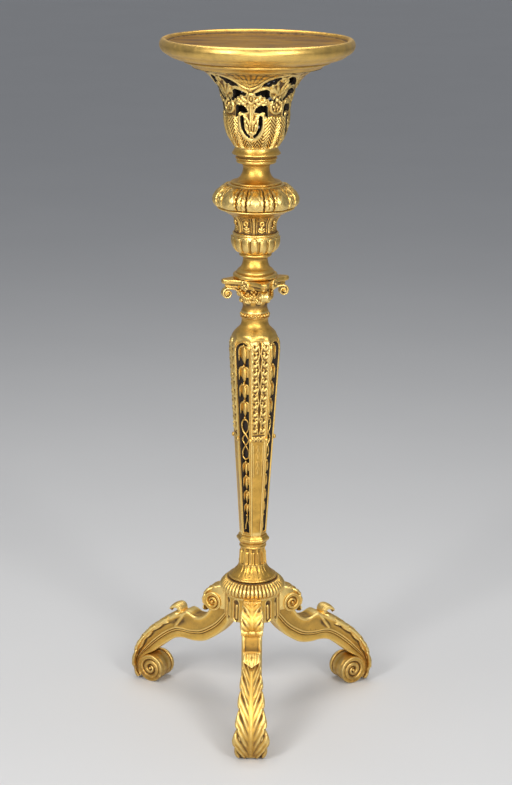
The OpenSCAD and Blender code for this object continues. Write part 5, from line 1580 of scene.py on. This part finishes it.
def bell_carving(u, v):
    """The straps, the hanging flower at x = 0 and the upright motif half a repeat away, at b = 0."""
    x = motif_x(u)
    b = HALF_REPEAT - x
    oval = np.hypot(x / OVAL_HALF, (v - OVAL_Z) / OVAL_LONG)
    cup = np.hypot(b, v - CUP_Z)
    second_arch = [(px * 0.92, pz + 5.4) for px, pz in ARCH_STRAP]
    stem = dome(x / 5.0) * rise(v, 1226, 1240) * rise(1276 - v, 0, 4) * (1 - 0.3 * np.exp(-((x / 0.9) ** 2)))
    straps = [
        3.6 * ridge(off_line(x, v, ARCH_STRAP), 1.9),
        2.8 * ridge(off_line(x, v, second_arch), 1.5),
        3.4 * ridge(off_line(x, v, U_STRAP), 3.9)]
    hanging = [
        leafage(x, v, HANGING_LEAVES),
        3.6 * rosette(x, v - 1304, 5.0, 5),
        3.6 * ridge(np.abs(oval - 1) * OVAL_HALF, 2.1),
        3.2 * dome(oval / 0.58),
        3.2 * stem,
        3.2 * rosette(x, v - 1215.6, 5.2, 6),
        2.8 * ball(x, v, (8.0, 1217.8), 2.6)]
    upright = [
        leafage(b, v, UPRIGHT_LEAVES),
        3.0 * ridge(np.abs(np.hypot(b, v - 1322) - 3.4), 1.7),
        4.0 * ball(b, v, (0, 1281.5), 4.0),
        3.8 * ridge(np.abs(cup - CUP_R), 3.1) * rise(1280 - v, 0, 3),
        3.4 * ridge(np.abs(np.hypot(b - 8.6, v - 1277) - 2.6), 1.8)]
    edge = 1.6 * ridge(bell_left(u, v) - 0.9, 1.8)
    ends = rise(v, BELL_FOOT + 0.5, BELL_FOOT + 4) * rise(bell_line[-1, 1] - v, 0.0, 0.7)
    parts = straps + hanging + upright + [feathers(x, v), spandrel(x, v), edge]
    return (np.maximum.reduce(parts) - 1.4) * ends


rows = np.interp(np.linspace(0, 1, 118), np.linspace(0, 1, len(bell_line)), bell_line[:, 1])
bell_v, bell_u = np.meshgrid(rows, np.arange(400) * 0.9, indexing="ij")
# Painted shade: the inside of the bell and the walls of its openings are near-black.
bell_wall = cut_sheet(bell_u, bell_v, bell_place, BELL_WALL, bell_left, bell_carving, closed=True) + ((0, 1),)
build("pierced_bell", [bell_wall], (CARVED_GOLD, CORE_AND_SHADE_BLACK), "carved_gilt", ["bell"], reach=18, depth=1.1,
      sharp=60)

# %% [markdown]
# ## The capital
# The small capital has a four-sided abacus with hollow sides, a scroll under each corner, a flower in
# the middle of each side, and a swag across each face of the drum. The abacus is a stack of rings: the
# plan's own curve gives the distance from the axis at each angle, and a moulding only grows or shrinks
# that plan.

# %% The abacus
CAPITAL_TURN = 17
ABACUS_FOOT = foot("abacus")
ABACUS_D = 146
SIDE_R, HOLLOW_R = 0.29 * ABACUS_D, 0.62 * ABACUS_D
ABACUS_CORE_R = 14.0


def abacus_reach(degrees, grow):
    """Distance from the axis to the plan's edge at an angle from the middle of a side."""
    a = np.radians((degrees + 45) % 90 - 45)
    side = (ABACUS_D / 2 * math.cos(math.pi / 4) + grow) / np.cos(a)
    corner = (ABACUS_D / 2 - 3.5 + grow) / np.cos(math.pi / 4 - np.abs(a))
    middle = SIDE_R + HOLLOW_R + grow
    under_root = HOLLOW_R**2 - (middle * np.sin(a)) ** 2
    hollow = np.where(under_root > 0, middle * np.cos(a) - np.sqrt(np.maximum(under_root, 0)), 1e9)
    return np.minimum.reduce([side, corner, np.where(np.abs(a) < 0.9, np.maximum(hollow, SIDE_R), 1e9)])


abacus_profile = smooth_line([
    (-60, 0.2), (-6.6, 0.2), (-6.6, 0.2), (-6.2, 1.4), (-6.8, 3.6), (-6.0, 6.2), (-3.6, 7.4), (-3.6, 7.4),
    (-0.6, 8.4), (-0.6, 8.4), (0.0, 9.8), (0.2, 13), (-0.2, 15.8), (-1.2, 16.8), (-1.2, 16.8), (-60, 16.8)],
    1.8)
degrees = np.linspace(0, 360, 240, endpoint=False)
abacus_rings = []
for grow, up in abacus_profile:
    reach = abacus_reach(degrees, max(grow, -8)) if grow > -20 else np.full(len(degrees), ABACUS_CORE_R)
    flat = np.stack([reach * np.cos(np.radians(degrees)), reach * np.sin(np.radians(degrees)),
                     np.full(len(degrees), ABACUS_FOOT + up)], 1)
    abacus_rings.append(turned_about(flat, FRONT + CAPITAL_TURN + 45))
build("hollow_sided_abacus", [loft(abacus_rings)], (TURNED_GOLD,), "turned_gilt", ["abacus"], reach=6,
      depth=0.8, sharp=40)

# %% The necking and the leafy drum
NECKING_FOOT = foot("capital_necking")
DRUM_UP = 26
DRUM_R = 30


def drum_leaves(theta, height, radius):
    """Eight leaves round the drum, and eight behind them that show in the gaps."""
    up = height - NECKING_FOOT - DRUM_UP
    front, behind = (np.radians(fold(theta, 8, CAPITAL_TURN + turn)) * DRUM_R for turn in (0, 22.5))
    leaf = 4.0 * acanthus(front, up + 3, 22, 17, 3)
    second = 2.8 * acanthus(behind, up - 3, 24, 17, 3)
    ground = 1.6 * rise(up, 1, 4)
    return (np.maximum(leaf, second) - ground) * (radius > 20)


turned_piece("capital_neck_and_drum", "capital_necking", NECKING_FOOT, [
    (2, 0.2), (27.2, 0.2), (27.2, 0.2), (28.2, 1.4), (27.6, 3), (26.2, 6), (24.9, 10), (24.6, 14), (25.6, 18),
    (27.6, 22), (28.8, 24.2), (29.6, 26), (29.8, 30), (29.4, 40), (30.6, 48), (33.6, 53.6), (33.6, 53.6),
    (2, 53.8)], 1.3, drum_leaves, 288, reach=20, depth=1.3, materials=(CARVED_GOLD,))

# %% The volutes
VOLUTE_MIDDLE = (58.4, ABACUS_FOOT - 0.15 - 12.5)
VOLUTE_HALF = 7.4
COIL_TURNS, COIL_R = 1.42, 10.6


def volute_shells():
    """A stem that comes up from the drum and winds into a coil under the corner, and the coil's eye."""
    turns = np.linspace(0, COIL_TURNS * 2 * math.pi, 80)
    shrink = COIL_R - 1.16 * turns**0.82
    bearing = math.pi / 2 - turns
    coil = np.stack([VOLUTE_MIDDLE[0] + shrink * np.cos(bearing),
                     VOLUTE_MIDDLE[1] + shrink * np.sin(bearing)], 1)
    stem = smooth_line([(28, ABACUS_FOOT - 21), (33, ABACUS_FOOT - 12), (41, ABACUS_FOOT - 5.2),
                        (50, ABACUS_FOOT - 2.6), (57.6, ABACUS_FOOT - 2.05)], 1.5)
    line = np.concatenate([stem, coil])
    path = from_plane(line[:, 0], np.zeros(len(line)), line[:, 1])
    thick = np.interp(np.arange(len(line)), [0, len(stem), len(line)], [3.0, 2.5, 1.9])
    spread = np.interp(np.arange(len(line)), [0, len(stem), len(line)], [5.0, VOLUTE_HALF, VOLUTE_HALF + 1.0])
    along = unit(np.gradient(path, axis=0))
    out = np.stack([-along[:, 2], 0 * along[:, 0], along[:, 0]], 1)
    a = np.linspace(0, 2 * math.pi, 20, endpoint=False)
    across = np.sign(np.cos(a)) * np.abs(np.cos(a)) ** 0.45
    rise_up = np.sign(np.sin(a)) * np.abs(np.sin(a)) ** 0.7 * (1 - 0.35 * (np.abs(across) < 0.6))
    rings = (path[:, None] + across[:, None] * spread[:, None, None] * np.array([0.0, 1.0, 0.0])
             + rise_up[:, None] * thick[:, None, None] * out[:, None])
    eye = from_plane(np.full(9, VOLUTE_MIDDLE[0]), np.linspace(-9.3, 9.3, 9), np.full(9, VOLUTE_MIDDLE[1]))
    return [loft(rings), rod(eye, 4.2 * np.array([0.45, 0.85, 1, 1, 1, 1, 1, 0.85, 0.45]), 16, up=(0, 0, 1))]


volute = volute_shells()
for k in range(4):
    turned = [(turned_about(points, FRONT + CAPITAL_TURN + 90 * k), faces) for points, faces in volute]
    build(f"corner_volute_{k + 1}", turned, (CARVED_GOLD,), "carved_gilt", [f"volute_{k + 1}"], reach=12,
          depth=0.9)

# %% The flowers, the swags and the frieze's rosettes


def flower_carving(u, v):
    """Five petals round a button."""
    far, around = np.hypot(u, v), np.arctan2(v, u)
    petal = dome(np.clip((far - 0.62) / 0.40, -1, 1)) * (0.45 + 0.55 * np.abs(np.cos(2.5 * around)) ** 0.6)
    crease = -0.10 * np.exp(-((np.sin(5 * around) / 0.2) ** 2)) * rise(far, 0.4, 0.6)
    return 0.32 * petal + 0.5 * dome(far / 0.30) + crease


def flower_left(u, v):
    """Distance from the five-lobed edge, more than 0 in the wood."""
    far, around = np.hypot(u, v), np.arctan2(v, u)
    return 0.80 + 0.20 * np.abs(np.cos(2.5 * around)) ** 0.5 - far


def flower_place(u, v, out):
    """The flower's own plane, with its face towards -Y."""
    return np.stack([u, -out, v], -1)


fv, fu = np.meshgrid(np.linspace(-1.04, 1.04, 34), np.linspace(-1.04, 1.04, 34), indexing="ij")
FLOWER = loose_shape("flower_pattern", [cut_sheet(fu, fv, flower_place, 0.2, flower_left, flower_carving)])
ring_angles = np.linspace(0, 2 * math.pi, 12, endpoint=False)
ring_line = [(0.58 + 0.40 * math.cos(a), 0.10 + 0.42 * math.sin(a)) for a in ring_angles]
RING = loose_shape("ring_pattern", [spin(ring_line, 24, ring=True)])
SWAG_BEADS = 11
for k in range(4):
    angle = FRONT + CAPITAL_TURN + 45 + 90 * k
    set_pattern(f"abacus_flower_{k + 1}", FLOWER, [turned_about([SIDE_R + 1.2, 0, ABACUS_FOOT + 8], angle)],
                [(0, 0, math.radians(angle + 90))], [(10.4, 10.0, 10.4)], CARVED_GOLD,
                [f"fleuron_{k + 1}"])
    spread = np.linspace(-1, 1, SWAG_BEADS)
    drop = 18.0 - 15.0 * (1 - spread**2)
    places = [turned_about([33.6, 0, ABACUS_FOOT - 24 + d], angle + 31 * s) for s, d in zip(spread, drop)]
    girth = 2.9 + 2.3 * (1 - spread**2)
    set_pattern(f"swag_{k + 1}_fruit", BEAD, places, [(0, 0, 0)] * SWAG_BEADS, [(g, g, g) for g in girth],
                TURNED_GOLD, [f"festoon_{k + 1}"])

ROSETTE_Z = sum(corner[2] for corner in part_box("frieze_rosettes")) / 2 / MM
rosette_turns = [FRONT + FRIEZE_TURN + k * 360 / FRIEZE_BAYS for k in range(FRIEZE_BAYS)]
set_pattern("drilled_rosettes", RING, [turned_about([41.4, 0, ROSETTE_Z], a) for a in rosette_turns],
            [(0, math.pi / 2, math.radians(a)) for a in rosette_turns], [(6.4, 6.4, 6.0)] * FRIEZE_BAYS,
            TURNED_GOLD, ["frieze_rosettes"])

# %% [markdown]
# ## The floor
# A plain pale floor under a plain light shows the stand and nothing else.

# %% The floor


def pale_floor(half=40):
    """A plain square that reaches `half` metres each way."""
    mesh = bpy.data.meshes.new("floor")
    mesh.from_pydata([(-half, -half, 0), (half, -half, 0), (half, half, 0), (-half, half, 0)], [],
                     [(0, 1, 2, 3)])
    floor = bpy.data.objects.new("floor", mesh)
    bpy.context.scene.collection.objects.link(floor)
    s = Shader("pale_floor")
    soft = s.noise(1.5, 2)
    s.put(s.surface.inputs["Base Color"], s.blend(soft, (0.60, 0.61, 0.63, 1), (0.64, 0.65, 0.67, 1)))
    s.surface.inputs["Roughness"].default_value = 0.6
    mesh.materials.append(s.material)


pale_floor()
